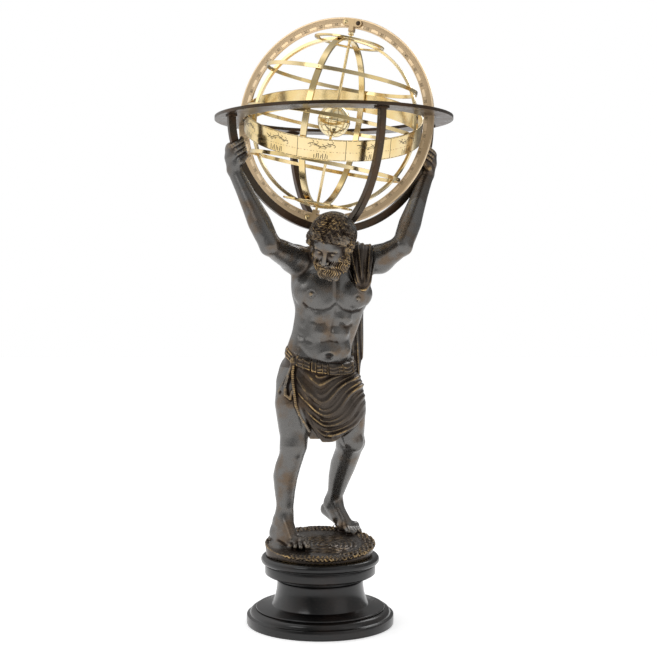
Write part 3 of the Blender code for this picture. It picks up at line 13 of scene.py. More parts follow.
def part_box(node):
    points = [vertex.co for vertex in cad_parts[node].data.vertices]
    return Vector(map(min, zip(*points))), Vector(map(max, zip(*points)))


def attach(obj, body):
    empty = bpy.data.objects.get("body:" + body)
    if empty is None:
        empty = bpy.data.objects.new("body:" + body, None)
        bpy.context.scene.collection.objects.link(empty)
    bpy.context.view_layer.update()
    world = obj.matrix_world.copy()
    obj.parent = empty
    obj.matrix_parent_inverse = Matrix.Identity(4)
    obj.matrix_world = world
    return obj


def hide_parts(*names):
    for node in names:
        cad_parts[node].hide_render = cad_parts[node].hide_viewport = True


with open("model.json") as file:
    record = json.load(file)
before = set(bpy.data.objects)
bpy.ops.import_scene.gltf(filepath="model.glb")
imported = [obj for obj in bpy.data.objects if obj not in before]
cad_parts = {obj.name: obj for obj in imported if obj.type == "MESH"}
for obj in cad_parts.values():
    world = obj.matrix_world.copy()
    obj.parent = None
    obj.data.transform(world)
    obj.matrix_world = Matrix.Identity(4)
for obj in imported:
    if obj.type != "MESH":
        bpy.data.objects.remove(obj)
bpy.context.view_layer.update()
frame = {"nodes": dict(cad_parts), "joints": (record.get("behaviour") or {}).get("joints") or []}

STAND = "stand"
SPHERE_BODY = "celestial_sphere"


# Places and directions of the frame
def node_points(name):
    """All points of one of the frame's nodes."""
    mesh = frame["nodes"][name].data
    flat = np.zeros(3 * len(mesh.vertices))
    mesh.vertices.foreach_get("co", flat)
    return flat.reshape(-1, 3)


def plane_normal(name):
    """Direction across a flat ring."""
    points = node_points(name)
    return Vector(np.linalg.svd(points - points.mean(0), full_matrices=False)[2][2]).normalized()


def about(name, centre, axis):
    """Radius and station of each of a node's points about an axis."""
    points = node_points(name) - np.array(centre)
    along = points @ np.array(axis)
    return np.linalg.norm(points - np.outer(along, np.array(axis)), axis=1), along


def spans(name, centre, axis):
    """Inner radius, outer radius, lowest and highest station of a node about an axis."""
    across, along = about(name, centre, axis)
    return across.min(), across.max(), along.min(), along.max()


def spin(degrees, axis="Z"):
    """A turn about one of the local axes."""
    return Matrix.Rotation(math.radians(degrees), 4, axis)


def shift(x, y, z):
    return Matrix.Translation((x, y, z))


def placed(name, data):
    """A new object in the scene's own collection."""
    thing = bpy.data.objects.new(name, data)
    bpy.context.scene.collection.objects.link(thing)
    return thing


def frame_from(x_axis, z_axis, place):
    """The turn and place whose z is z_axis and whose x lies as near x_axis as it can."""
    z_axis = Vector(z_axis).normalized()
    y_axis = z_axis.cross(Vector(x_axis)).normalized()
    x_axis = y_axis.cross(z_axis)
    turn = Matrix((x_axis, y_axis, z_axis)).transposed().to_4x4()
    return Matrix.Translation(place) @ turn


HINGE = frame["joints"][0]
POLAR = Vector(HINGE["axis"]).normalized()
CAGE = Vector(HINGE["pos_m"])
UP = Vector((0.0, 0.0, 1.0))
SPHERE = Vector(node_points("meridian_ring").mean(0))
MERIDIAN_NORMAL = plane_normal("meridian_ring")
MERIDIAN_NORMAL = MERIDIAN_NORMAL if MERIDIAN_NORMAL.y > 0 else -MERIDIAN_NORMAL
ACROSS = MERIDIAN_NORMAL.cross(UP).normalized()
FRONT = plane_normal("solstitial_colure").cross(POLAR).normalized()
FRONT = FRONT if FRONT.y < 0 else -FRONT
CAGE_FRAME = frame_from(FRONT, POLAR, CAGE)
MERIDIAN_INNER, MERIDIAN_R, MERIDIAN_LOW, MERIDIAN_HIGH = spans("meridian_ring", SPHERE, MERIDIAN_NORMAL)
# Metres: the gap between the meridian and the cradle, the section of its hoops, and the play in the fists
CRADLE_GAP = 0.0006
CRADLE_DEPTH = 0.0095
CRADLE_WIDTH = 0.0080
GRIP_GAP = 0.0004
HOOP_INNER = MERIDIAN_R + CRADLE_GAP
HOOP_OUTER = HOOP_INNER + CRADLE_DEPTH
GROUND_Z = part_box("atlas_figure")[0].z
FIGURE_HEIGHT = 0.4280
UNIT = FIGURE_HEIGHT / 428.0


def hoop_direction(turn):
    """Level direction of one cradle arc, turn degrees from the meridian's own line."""
    return Matrix.Rotation(math.radians(turn), 3, "Z") @ ACROSS


def hoop_point(turn, below, radius):
    """A point on an arc of the cradle, below radians under the level of the sphere's centre."""
    out = hoop_direction(turn)
    return SPHERE + (out * math.cos(below) - UP * math.sin(below)) * radius


# Materials
class Nodes:
    """Short ways to add shader nodes to one material."""

    def __init__(self, name):
        self.mat = bpy.data.materials.new(name)
        self.mat.use_nodes = True
        self.tree = self.mat.node_tree
        self.shader = next(n for n in self.tree.nodes if n.type == "BSDF_PRINCIPLED")

    def put(self, target, value):
        if isinstance(value, bpy.types.NodeSocket):
            self.tree.links.new(value, target)
        else:
            target.default_value = value

    def node(self, kind, **settings):
        node = self.tree.nodes.new(kind)
        for key, value in settings.items():
            setattr(node, key, value)
        return node

    def set(self, **values):
        for key, value in values.items():
            self.put(self.shader.inputs[key.replace("_", " ")], value)

    def math(self, operation, a, b=0.0):
        node = self.node("ShaderNodeMath", operation=operation)
        for socket, value in zip(node.inputs, (a, b)):
            self.put(socket, value)
        return node.outputs[0]

    def times(self, *parts):
        return reduce(lambda a, b: self.math("MULTIPLY", a, b), parts)

    def plus(self, *parts):
        return reduce(lambda a, b: self.math("ADD", a, b), parts)

    def most(self, *parts):
        return reduce(lambda a, b: self.math("MAXIMUM", a, b), parts)

    def noise(self, scale, detail=3.0):
        node = self.node("ShaderNodeTexNoise")
        self.put(node.inputs["Vector"], self.node("ShaderNodeTexCoord").outputs["Object"])
        node.inputs["Scale"].default_value = scale
        node.inputs["Detail"].default_value = detail
        node.inputs["Roughness"].default_value = 0.55
        return node.outputs["Fac"]

    def ramp(self, value, low, high, out_low=0.0, out_high=1.0):
        node = self.node("ShaderNodeMapRange", interpolation_type="SMOOTHSTEP")
        for socket, item in zip(node.inputs, (value, low, high, out_low, out_high)):
            self.put(socket, item)
        return node.outputs[0]

    def mix(self, share, a, b):
        node = self.node("ShaderNodeMix", data_type="RGBA")
        self.put(node.inputs[0], share)
        for socket, value in ((node.inputs[6], a), (node.inputs[7], b)):
            self.put(socket, (*value, 1.0) if isinstance(value, tuple) and len(value) == 3 else value)
        return node.outputs[2]

    def bump(self, height, strength, distance):
        node = self.node("ShaderNodeBump")
        self.put(node.inputs["Height"], height)
        node.inputs["Strength"].default_value = strength
        node.inputs["Distance"].default_value = distance
        self.put(self.shader.inputs["Normal"], node.outputs[0])

    def attribute(self, name):
        return self.node("ShaderNodeAttribute", attribute_name=name).outputs["Fac"]

    def polar(self):
        """Radius, turn in degrees and height of the surface point in the piece's own ring frame."""
        split = self.node("ShaderNodeSeparateXYZ")
        self.put(split.inputs[0], self.node("ShaderNodeAttribute", attribute_name="place").outputs["Vector"])
        x, y, z = split.outputs
        radius = self.math("SQRT", self.plus(self.times(x, x), self.times(y, y)))
        turn = self.times(self.math("ARCTAN2", y, x), 180.0 / math.pi)
        return radius, turn, z


# The figure is a distance field built from limbs, muscles and cloth, in 1/428ths of its height.
# x is to the viewer's right, y away from the viewer, z up from the ground's underside.
def smooth_table(stations, samples):
    """The stations' columns, evenly sampled and smoothed."""
    stations = np.array(stations, dtype=np.float64)
    at = np.linspace(stations[0, 0], stations[-1, 0], samples)
    table = np.stack([np.interp(at, stations[:, 0], column) for column in stations.T[1:]])
    width = max(3, samples // 12) | 1
    kernel = np.hanning(width + 2)[1:-1]
    kernel /= kernel.sum()
    padded = np.pad(table, ((0, 0), (width // 2, width // 2)), mode="edge")
    return np.stack([np.convolve(row, kernel, mode="valid") for row in padded]).astype(np.float32)


def quadric(parts):
    """Distance to an ellipsoid-like surface from coordinate and radius pairs."""
    flat = sum((p / r) ** 2 for p, r in parts)
    steep = sum((p / (r * r)) ** 2 for p, r in parts)
    near = np.sqrt(flat)
    return near * (near - 1.0) / np.sqrt(np.maximum(steep, 1e-8))


def dot(x, y, z, row):
    """Share of x, y and z along a direction."""
    return x * row[0] + y * row[1] + z * row[2]


def bell(value, width):
    """1 at nought, dying out on both sides over the width."""
    return np.exp(-(value / width) ** 2)


def bone(a, b, ra, rb):
    """A round bar from a to b that tapers from one radius to the other."""
    a, b = np.array(a, np.float64), np.array(b, np.float64)
    run = b - a
    square = float(run @ run)

    def fn(x, y, z):
        t = np.clip(dot(x - a[0], y - a[1], z - a[2], run) / square, 0.0, 1.0)
        gap = (x - a[0] - t * run[0]) ** 2 + (y - a[1] - t * run[1]) ** 2 + (z - a[2] - t * run[2]) ** 2
        return np.sqrt(gap) - (ra + (rb - ra) * t)

    big = max(ra, rb)
    return fn, np.minimum(a, b) - big, np.maximum(a, b) + big


def egg(centre, radii, axes=None):
    """An ellipsoid, on its own axes where they are given as rows."""
    centre = np.array(centre, np.float64)
    axes = np.eye(3) if axes is None else np.array(axes, np.float64)

    def fn(x, y, z):
        out = (x - centre[0], y - centre[1], z - centre[2])
        return quadric([(dot(*out, row), r) for row, r in zip(axes, radii)])

    reach = np.sqrt(((axes * np.array(radii)[:, None]) ** 2).sum(0))
    return fn, centre - reach, centre + reach


def limb(a, b, side, stations):
    """A long form from a to b; each station is share along, half-width, half-depth and maybe two offsets."""
    stations = [(*station, 0, 0)[:5] for station in stations]
    a, b = np.array(a, np.float64), np.array(b, np.float64)
    length = float(np.linalg.norm(b - a))
    axis = (b - a) / length
    side = np.array(side, np.float64)
    side = side - axis * (side @ axis)
    side /= np.linalg.norm(side)
    front = np.cross(axis, side)
    table = smooth_table(stations, 400)
    big = float(np.abs(table).sum(0).max())

    def fn(x, y, z):
        out = (x - a[0], y - a[1], z - a[2])
        along = dot(*out, axis)
        inside = np.clip(along / length, 0.0, 1.0)
        pick = (inside * 399.0).astype(np.int32)
        wide, deep, shift_s, shift_f = (row[pick] for row in table)
        u = dot(*out, side) - shift_s
        v = dot(*out, front) - shift_f
        return quadric([(u, wide), (v, deep), (along - inside * length, 0.8 * np.minimum(wide, deep))])

    return fn, np.minimum(a, b) - big, np.maximum(a, b) + big


def column(stations):
    """An upright form; each station is height, centre x, centre y, half-width, half-depth, turn."""
    table = smooth_table(stations, 600)
    low, high = stations[0][0], stations[-1][0]
    wide = max(s[3] for s in stations) + 6.0
    xs = [s[1] for s in stations]
    ys = [s[2] for s in stations]

    def fn(x, y, z):
        inside = np.clip((z - low) / (high - low), 0.0, 1.0)
        pick = (inside * 599.0).astype(np.int32)
        cx, cy, hw, hd, turn = (row[pick] for row in table)
        turn = np.radians(turn)
        dx, dy = x - cx, y - cy
        u = dx * np.cos(turn) + dy * np.sin(turn)
        v = dy * np.cos(turn) - dx * np.sin(turn)
        beyond = z - (low + inside * (high - low))
        return quadric([(u, hw), (v, hd), (beyond, 12.0)])

    reach = np.array((wide, wide, 14.0))
    return fn, np.array((min(xs), min(ys), low)) - reach, np.array((max(xs), max(ys), high)) + reach


def gyroid(x, y, z, scale):
    """Lumps of one size that run into each other, between about -1.5 and 1.5."""
    x, y, z = (2.0 * math.pi / scale * v for v in (x, y, z))
    return np.sin(x) * np.cos(y) + np.sin(y) * np.cos(z) + np.sin(z) * np.cos(x)


def fade(value, edge, width):
    """0 below the edge, 1 past it, eased over the width."""
    t = np.clip((value - edge) / width + 0.5, 0.0, 1.0)
    return t * t * (3.0 - 2.0 * t)


class Clay:
    """A box of distances to the figure's surface: negative inside."""

    def __init__(self, low, high, cell):
        self.cell = cell
        self.axes = [np.arange(a, b + cell, cell, dtype=np.float32) for a, b in zip(low, high)]
        self.field = np.full([len(a) for a in self.axes], 25.0, np.float32)

    def window(self, low, high):
        """The grid points between low and high, and their coordinates."""
        cuts = []
        for axis, a, b in zip(self.axes, low, high):
            cuts.append(slice(int(np.searchsorted(axis, a)), int(np.searchsorted(axis, b))))
        x, y, z = (axis[cut] for axis, cut in zip(self.axes, cuts))
        return tuple(cuts), x[:, None, None], y[None, :, None], z[None, None, :]

    def empty(self, cuts):
        return any(cut.stop <= cut.start for cut in cuts)

    def add(self, shape, blend):
        """Joins a shape on with a fillet as wide as the blend."""
        fn, low, high = shape
        reach = 6.0 + 2.2 * blend
        cuts, x, y, z = self.window(low - reach, high + reach)
        if self.empty(cuts):
            return
        old, new = self.field[cuts], fn(x, y, z).astype(np.float32)
        mix = np.maximum(blend - np.abs(old - new), 0.0) / blend
        self.field[cuts] = np.minimum(old, new) - mix * mix * blend * 0.25

    def cut(self, shape, blend):
        """Takes a shape away with an eased edge."""
        fn, low, high = shape
        cuts, x, y, z = self.window(low - 2.0 - blend, high + 2.0 + blend)
        if self.empty(cuts):
            return
        old, new = self.field[cuts], -fn(x, y, z).astype(np.float32)
        mix = np.maximum(blend - np.abs(old - new), 0.0) / blend
        self.field[cuts] = np.maximum(old, new) + mix * mix * blend * 0.25

    def relief(self, low, high, depth, fn):
        """Raise the surface by fn, given in the same unit; it dies out within the depth on both sides."""
        cuts, x, y, z = self.window(low, high)
        if self.empty(cuts):
            return
        near = bell(self.field[cuts], depth)
        self.field[cuts] -= (fn(x, y, z) * near).astype(np.float32)

    def skin(self):
        """Vertices and quads of the surface, one vertex in each cell that it crosses."""
        f = self.field
        f[0], f[-1], f[:, 0], f[:, -1], f[:, :, 0], f[:, :, -1] = (25.0,) * 6
        solid = f < 0.0
        for _ in range(20):
            if not self.untangle(solid):
                break
        f[solid & (f >= 0.0)] = -0.05 * self.cell
        nx, ny, nz = (n - 1 for n in f.shape)
        total = np.zeros((nx, ny, nz), np.int8)
        for i in (0, 1):
            for j in (0, 1):
                for k in (0, 1):
                    total += solid[i:nx + i, j:ny + j, k:nz + k]
        cells = np.argwhere((total > 0) & (total < 8))
        index = np.full((nx, ny, nz), -1, np.int32)
        index[tuple(cells.T)] = np.arange(len(cells))
        sums = np.zeros((len(cells), 3))
        count = np.zeros(len(cells))
        corners = [(i, j, k) for i in (0, 1) for j in (0, 1) for k in (0, 1)]
        value = {c: f[tuple((cells + c).T)].astype(np.float64) for c in corners}
        for c in corners:
            for axis in range(3):
                if c[axis]:
                    continue
                d = tuple(c[n] + (n == axis) for n in range(3))
                p, q = value[c], value[d]
                crossing = (p < 0.0) != (q < 0.0)
                t = np.where(crossing, p / np.where(crossing, p - q, 1.0), 0.0)
                spot = np.tile(np.array(c, np.float64), (len(cells), 1))
                spot[:, axis] = t
                sums += np.where(crossing[:, None], spot, 0.0)
                count += crossing
        origin = np.array([axis[0] for axis in self.axes], np.float64)
        points = origin + (cells + sums / count[:, None]) * self.cell
        quads = []
        for axis in range(3):
            u, v = (axis + 1) % 3, (axis + 2) % 3
            head = [slice(None)] * 3
            tail = [slice(None)] * 3
            head[axis], tail[axis] = slice(0, -1), slice(1, None)
            a, b = solid[tuple(head)], solid[tuple(tail)]
            for flip in (False, True):
                edges = np.argwhere((b & ~a) if flip else (a & ~b))
                ring = []
                for du, dv in ((0, 0), (1, 0), (1, 1), (0, 1)):
                    cell = edges.copy()
                    cell[:, u] -= du
                    cell[:, v] -= dv
                    ring.append(index[tuple(cell.T)])
                if flip:
                    ring.reverse()
                ring.reverse()
                quads.append(np.stack(ring, 1))
        return points, np.concatenate(quads)[:, ::-1]

    def untangle(self, solid):
        """Fill corners where the solid meets itself in one grid cell only at a diagonal."""
        changed = 0
        for axis in range(3):
            s = np.moveaxis(solid, axis, 0)
            a, b, c, d = s[:, :-1, :-1], s[:, 1:, :-1], s[:, 1:, 1:], s[:, :-1, 1:]
            first = a & c & ~b & ~d
            other = b & d & ~a & ~c
            changed += int(first.sum()) + int(other.sum())
            s[:, 1:, :-1] |= first
            s[:, :-1, :-1] |= other
        nx, ny, nz = (n - 1 for n in solid.shape)

        def corner(i, j, k):
            return solid[i:nx + i, j:ny + j, k:nz + k]

        for i, j in ((0, 0), (0, 1), (1, 0), (1, 1)):
            total = sum(corner(a, b, c).astype(np.int8) for a in (0, 1) for b in (0, 1) for c in (0, 1))
            near, far = corner(i, j, 0), corner(1 - i, 1 - j, 1)
            apart = near & far & (total == 2)
            pierced = ~near & ~far & (total == 6)
            changed += int(apart.sum()) + int(pierced.sum())
            corner(1 - i, j, 0)[apart] = True
            corner(1 - i, 1 - j, 0)[apart] = True
            near[pierced] = True
        return changed


HEAD_AT = (13.6, -72.0, 389.5)
HEAD_BOW = math.radians(38.0)
HEAD_TURN = math.radians(20.0)


def head_axes():
    """Rows: the head's side, front and crown directions."""
    front = np.array((0.0, -math.cos(HEAD_BOW), -math.sin(HEAD_BOW)))
    crown = np.array((0.0, -math.sin(HEAD_BOW), math.cos(HEAD_BOW)))
    side = np.array((1.0, 0.0, 0.0))
    turned_front = front * math.cos(HEAD_TURN) - side * math.sin(HEAD_TURN)
    turned_side = side * math.cos(HEAD_TURN) + front * math.sin(HEAD_TURN)
    return np.stack((turned_side, turned_front, crown))


HEAD = head_axes()


def on_head(s, f, u):
    """A place given by the head's side, front and crown."""
    return np.array(HEAD_AT) + HEAD[0] * s + HEAD[1] * f + HEAD[2] * u


def head_space(x, y, z):
    """The head's own side, front and crown coordinates of a point."""
    return tuple(dot(x - HEAD_AT[0], y - HEAD_AT[1], z - HEAD_AT[2], row) for row in HEAD)


def head_egg(place, radii):
    return egg(on_head(*place), radii, HEAD)


def head_bone(a, b, ra, rb):
    return bone(on_head(*a), on_head(*b), ra, rb)


def belt_height(x, y):
    return 249.0 - 0.27 * x + 0.42 * y


def skirt_hem(x):
    """Height of the hem in front, which climbs to the viewer's right."""
    return 143.0 + 0.040 * np.maximum(x - 10.0, 0.0) ** 1.72


def skirt_seam(z):
    """Where the cloth opens over the viewer's left thigh."""
    return -36.0 + np.maximum(222.0 - z, 0.0) ** 1.45 * 0.068


def ground_height(y):
    return 13.4 + 0.105 * y


TRUNK = [
    (190, 2, 5, 44, 30, 20), (212, -1, 4, 47, 31, 20), (234, -2.5, 1, 44.5, 29, 20),
    (250, -2.5, -1, 43, 27, 19), (264, 0, -2, 42, 26.5, 18),
    (280, 5.5, -4, 41.5, 26.5, 16), (300, 10.5, -5, 43, 28, 14),
    (314, 13, -6, 44.5, 30, 12), (332, 14, -5, 46, 31, 10), (351, 16, -3, 47, 29, 10),
    (368, 20, 0, 47, 24, 10), (380, 21, 3, 38, 18, 10),
]


def model_trunk(clay):
    clay.add(column(TRUNK), 4)
    clay.add(bone((-24, -8, 371), (66, 3, 372), 13.5, 13.5), 12)
    clay.add(egg((-32, -15, 371), (18, 18, 17)), 8)
    clay.add(egg((74, 4, 371), (18, 18, 17)), 8)
    clay.add(egg((18, 13, 374), (30, 15, 14)), 10)
    clay.add(egg((-24.5, -3, 341), (12, 20, 30)), 8)
    clay.add(egg((53, 7, 341), (10, 19, 30)), 8)
    clay.add(egg((-7, -23, 331), (27, 15.5, 22.5)), 3)
    clay.add(egg((42, -19, 328), (23, 16.5, 20.5)), 3)
    clay.add(egg((6, -23.5, 300), (14, 9.8, 12)), 6)
    clay.add(egg((27, -21.5, 298), (13, 9.8, 12)), 6)
    clay.add(egg((4, -21, 280), (14.5, 10.6, 10)), 6)
    clay.add(egg((22, -19.6, 278), (13, 10.6, 10)), 6)
    clay.add(egg((11, -15.5, 258), (27, 14.8, 17)), 7)
    clay.cut(bone((19.5, -45, 352), (19.5, -43.5, 316), 4.4, 4.4), 6)
    clay.cut(bone((17, -41, 312), (11, -38, 268), 2.8, 2.8), 5)
    clay.cut(bone((-4, -40, 291), (32, -37, 288), 2.4, 2.4), 6)
    clay.cut(bone((-15, -36, 300), (-24, -33, 276), 2.0, 2.0), 8)
    clay.cut(bone((44, -25, 298), (44, -22, 272), 2.2, 2.2), 6)
    clay.cut(egg((12, -33, 250.5), (4.2, 5, 3.2)), 3)
    clay.add(egg((-8, 17, 352), (18, 12, 22)), 8)
    clay.add(egg((42, 22, 352), (18, 12, 22)), 8)
    clay.cut(bone((18, 36, 368), (4, 35, 245), 4.5, 4.5), 9)
    clay.add(bone((4, -24, 377), (-28, -20, 380), 3.2, 2.4), 6)
    clay.add(bone((36, -20, 376), (66, -8, 380), 3.0, 2.4), 6)
    clay.relief((-34.0, -60.0, 236.0), (66.0, -4.0, 352.0), 5.0, torso_lines)


# Lines of the torso on its front plane: points across and up, then depth and width of the groove
TORSO_GROOVES = [
    ([(-20, 316), (-15, 311.5), (-7, 308.8), (4, 308.6), (12, 311), (17.6, 316)], 1.5, 1.7),
    ([(21.6, 315), (28, 308.8), (39, 305.8), (49, 307.6), (55, 312)], 1.5, 1.7),
    ([(19.8, 344), (19.9, 318)], 1.5, 2.6),
    ([(19, 310), (14.5, 290), (12.2, 276)], 1.1, 2.8),
    ([(-8, 294), (-2, 292), (5, 293)], 1.0, 2.6),
    ([(25, 290), (31, 287), (38, 289)], 1.3, 2.6),
    ([(2, 268), (11, 269.6), (20, 268)], 1.0, 2.4),
    ([(-16, 270), (-13, 269)], 0.9, 2.4),
    ([(-29, 303), (-22, 297)], 0.4, 2.8),
    ([(-30, 291), (-24, 285)], 0.4, 2.8),
    ([(-29, 279), (-24, 274)], 0.4, 2.8),
    ([(52, 299), (45, 292)], 0.8, 2.2),
    ([(50, 287), (44, 280)], 0.8, 2.2),
    ([(-26, 262), (-14, 249)], 0.7, 3.0),
    ([(34, 258), (25, 247)], 0.7, 3.0),
]
TORSO_SWELLS = [
    (-3, 300, 7, 1.3), (29, 296.5, 6, 2.0), (3, 279, 7, 1.5), (20, 278, 6.5, 1.7), (0, 318, 9, 0.9),
    (38, 315, 9, 0.9), (11, 258, 8, 0.8),
]


def away_from(points, x, z):
    """Distance in the front plane from a line through the points."""
    best = None
    for (ax, az), (bx, bz) in zip(points, points[1:]):
        dx, dz = bx - ax, bz - az
        t = np.clip(((x - ax) * dx + (z - az) * dz) / (dx * dx + dz * dz), 0.0, 1.0)
        gap = np.hypot(x - ax - t * dx, z - az - t * dz)
        best = gap if best is None else np.minimum(best, gap)
    return best


def torso_lines(x, y, z):
    """Grooves, swells, nipples and navel."""
    x, z = x + 0.0 * z, z + 0.0 * x
    rise = np.zeros_like(x)
    for points, depth, width in TORSO_GROOVES:
        rise -= depth * bell(away_from(points, x, z), width)
    for cx, cz, size, height in TORSO_SWELLS:
        rise += height * np.exp(-((x - cx) ** 2 + (z - cz) ** 2) / size ** 2)
    for cx, cz in ((-11.3, 327.3), (47.0, 321.5)):
        gap = np.hypot(x - cx, z - cz)
        rise += 1.9 * np.exp(-(gap / 2.5) ** 4) - 0.5 * bell(gap - 4.2, 1.2)
    hollow = np.hypot((x - 10.3) / 1.6, z - 250.0)
    rise += 0.8 * bell(hollow - 6.0, 3.0) - 2.6 * bell(hollow, 3.2)
    return rise * (1.0 - fade(y, -12.0, 8.0))


def model_neck(clay):
    clay.add(bone((17, 4, 379), (14, -50, 382), 18.5, 17.5), 10)
    clay.add(bone((-2, -6, 376), (2, -52, 378), 9, 8), 8)


def finger_curl(clay, centre, out, side, start, sweep, reach, thick, lift):
    """A finger bent round the bar as a chain of short bones that grow thinner."""
    last = None
    for i in range(11):
        share = i / 10.0
        angle = start + sweep * share
        point = centre + (out * math.cos(angle) + side * math.sin(angle)) * reach + lift * share
        if last is not None:
            clay.add(bone(last, point, thick * (1.08 - 0.2 * share), thick * (1.06 - 0.2 * share)), 0.7)
        last = point


def grip(turn, below):
    """Centre and directions of a fist on a cradle arc, in the figure's own unit."""
    ground = Vector((0.0, 0.0, GROUND_Z))
    middle = 0.5 * (HOOP_INNER + HOOP_OUTER)
    here = (hoop_point(turn, below, middle) - ground) / UNIT
    on = (hoop_point(turn, below + 0.01, middle) - ground) / UNIT
    out = (hoop_point(turn, below, middle + 0.01) - ground) / UNIT - here
    down = on - here
    here, out, down = (np.array(v, np.float64) for v in (here, out, down))
    out /= np.linalg.norm(out)
    down /= np.linalg.norm(down)
    return here, out, down


def model_hand(clay, turn, below, front):
    """A fist on a cradle arc, its fingers on the side given by front; gives back the wrist."""
    here, out, down = grip(turn, below)
    side = np.cross(out, down)
    if side[1] * front > 0:
        side = -side
    palm = here + out * 7.0 - side * 1.0
    axes = np.stack((out, side, down))
    clay.add(egg(palm, (7.0, 10.5, 12.5), axes), 3)
    clay.add(egg(palm + side * 4.0 - out * 1.0, (7.5, 8.0, 12.0), axes), 3)
    for i in range(4):
        centre = here + down * (5.7 * i - 4.6)
        finger_curl(clay, centre, out, side, 0.05, 2.9, 10.4 - 0.25 * i, 3.3 - 0.1 * abs(i - 1), down * -8.5)
    root = palm + down * 15.0 + side * 6.0
    knuckle = here + side * 10.6 + out * 3.5 + down * 13.5
    clay.add(bone(root, knuckle, 5.4, 4.2), 2.5)
    clay.add(bone(knuckle, here + side * 9.4 - out * 6.0 + down * 8.0, 4.1, 3.3), 1.5)
    return palm + down * 20.0 + out * 2.5 - side * 0.5


def model_arm(clay, shoulder, elbow, wrist, back):
    shoulder, elbow, wrist = (np.array(v, np.float64) for v in (shoulder, elbow, wrist))
    upper = [(0, 17, 17), (0.3, 16, 16), (0.6, 14.6, 14.6), (1, 12, 12)]
    clay.add(limb(shoulder, elbow, (0, 0, 1), upper), 7)
    fore = [
        (0, 12, 12), (0.12, 13.4, 13.2), (0.3, 14.2, 13.2), (0.5, 12.2, 11.6),
        (0.72, 10.4, 9.8), (0.92, 9.5, 8.8), (1, 9.5, 9.0),
    ]
    clay.add(limb(elbow, wrist, (1, 0, 0), fore), 6)
    point = elbow + (elbow - wrist) / np.linalg.norm(elbow - wrist) * 4.5 + np.array((back, 2.0, 0.0))
    clay.add(egg(point, (6.8, 6.8, 6.2)), 6)


def model_arms(clay):
    left_wrist = model_hand(clay, 225.0, LEFT_GRIP, 1.0)
    right_wrist = model_hand(clay, 45.0, RIGHT_GRIP, 1.0)
    palm_left, out, down = grip(225.0, LEFT_GRIP)
    left_elbow = np.array((-60.5, -66.0, 386.5))
    right_elbow = np.array((102.5, -16.0, 388.0))
    model_arm(clay, (-32, -16, 371), left_elbow, left_wrist, -3.0)
    model_arm(clay, (74, 4, 371), right_elbow, right_wrist, 3.0)
    clay.add(bone(left_wrist, palm_left + out * 9.0 + down * 6.0, 8.4, 9.0), 4)
    palm_right, out, down = grip(45.0, RIGHT_GRIP)
    clay.add(bone(right_wrist, palm_right + out * 9.0 + down * 6.0, 8.4, 9.0), 4)
    clay.cut(bone((-58, -72, 408), (-80, -74, 452), 1.6, 1.2), 5)
    clay.cut(bone((112, -22, 408), (122, -8, 448), 1.6, 1.2), 5)


def toe_row(clay, ball_a, ball_b, tips, radii):
    """Toes from the ball of the foot to their tips."""
    for i, (tip, r) in enumerate(zip(tips, radii)):
        share = i / (len(tips) - 1.0)
        root = np.array(ball_a) * (1 - share) + np.array(ball_b) * share
        tip = np.array(tip)
        knuckle = root * 0.42 + tip * 0.58 + np.array((0, 0, 1.3))
        clay.add(bone(root, knuckle, r * 1.05, r), 2.0)
        clay.add(bone(knuckle, tip, r, r * 0.92), 1.0)


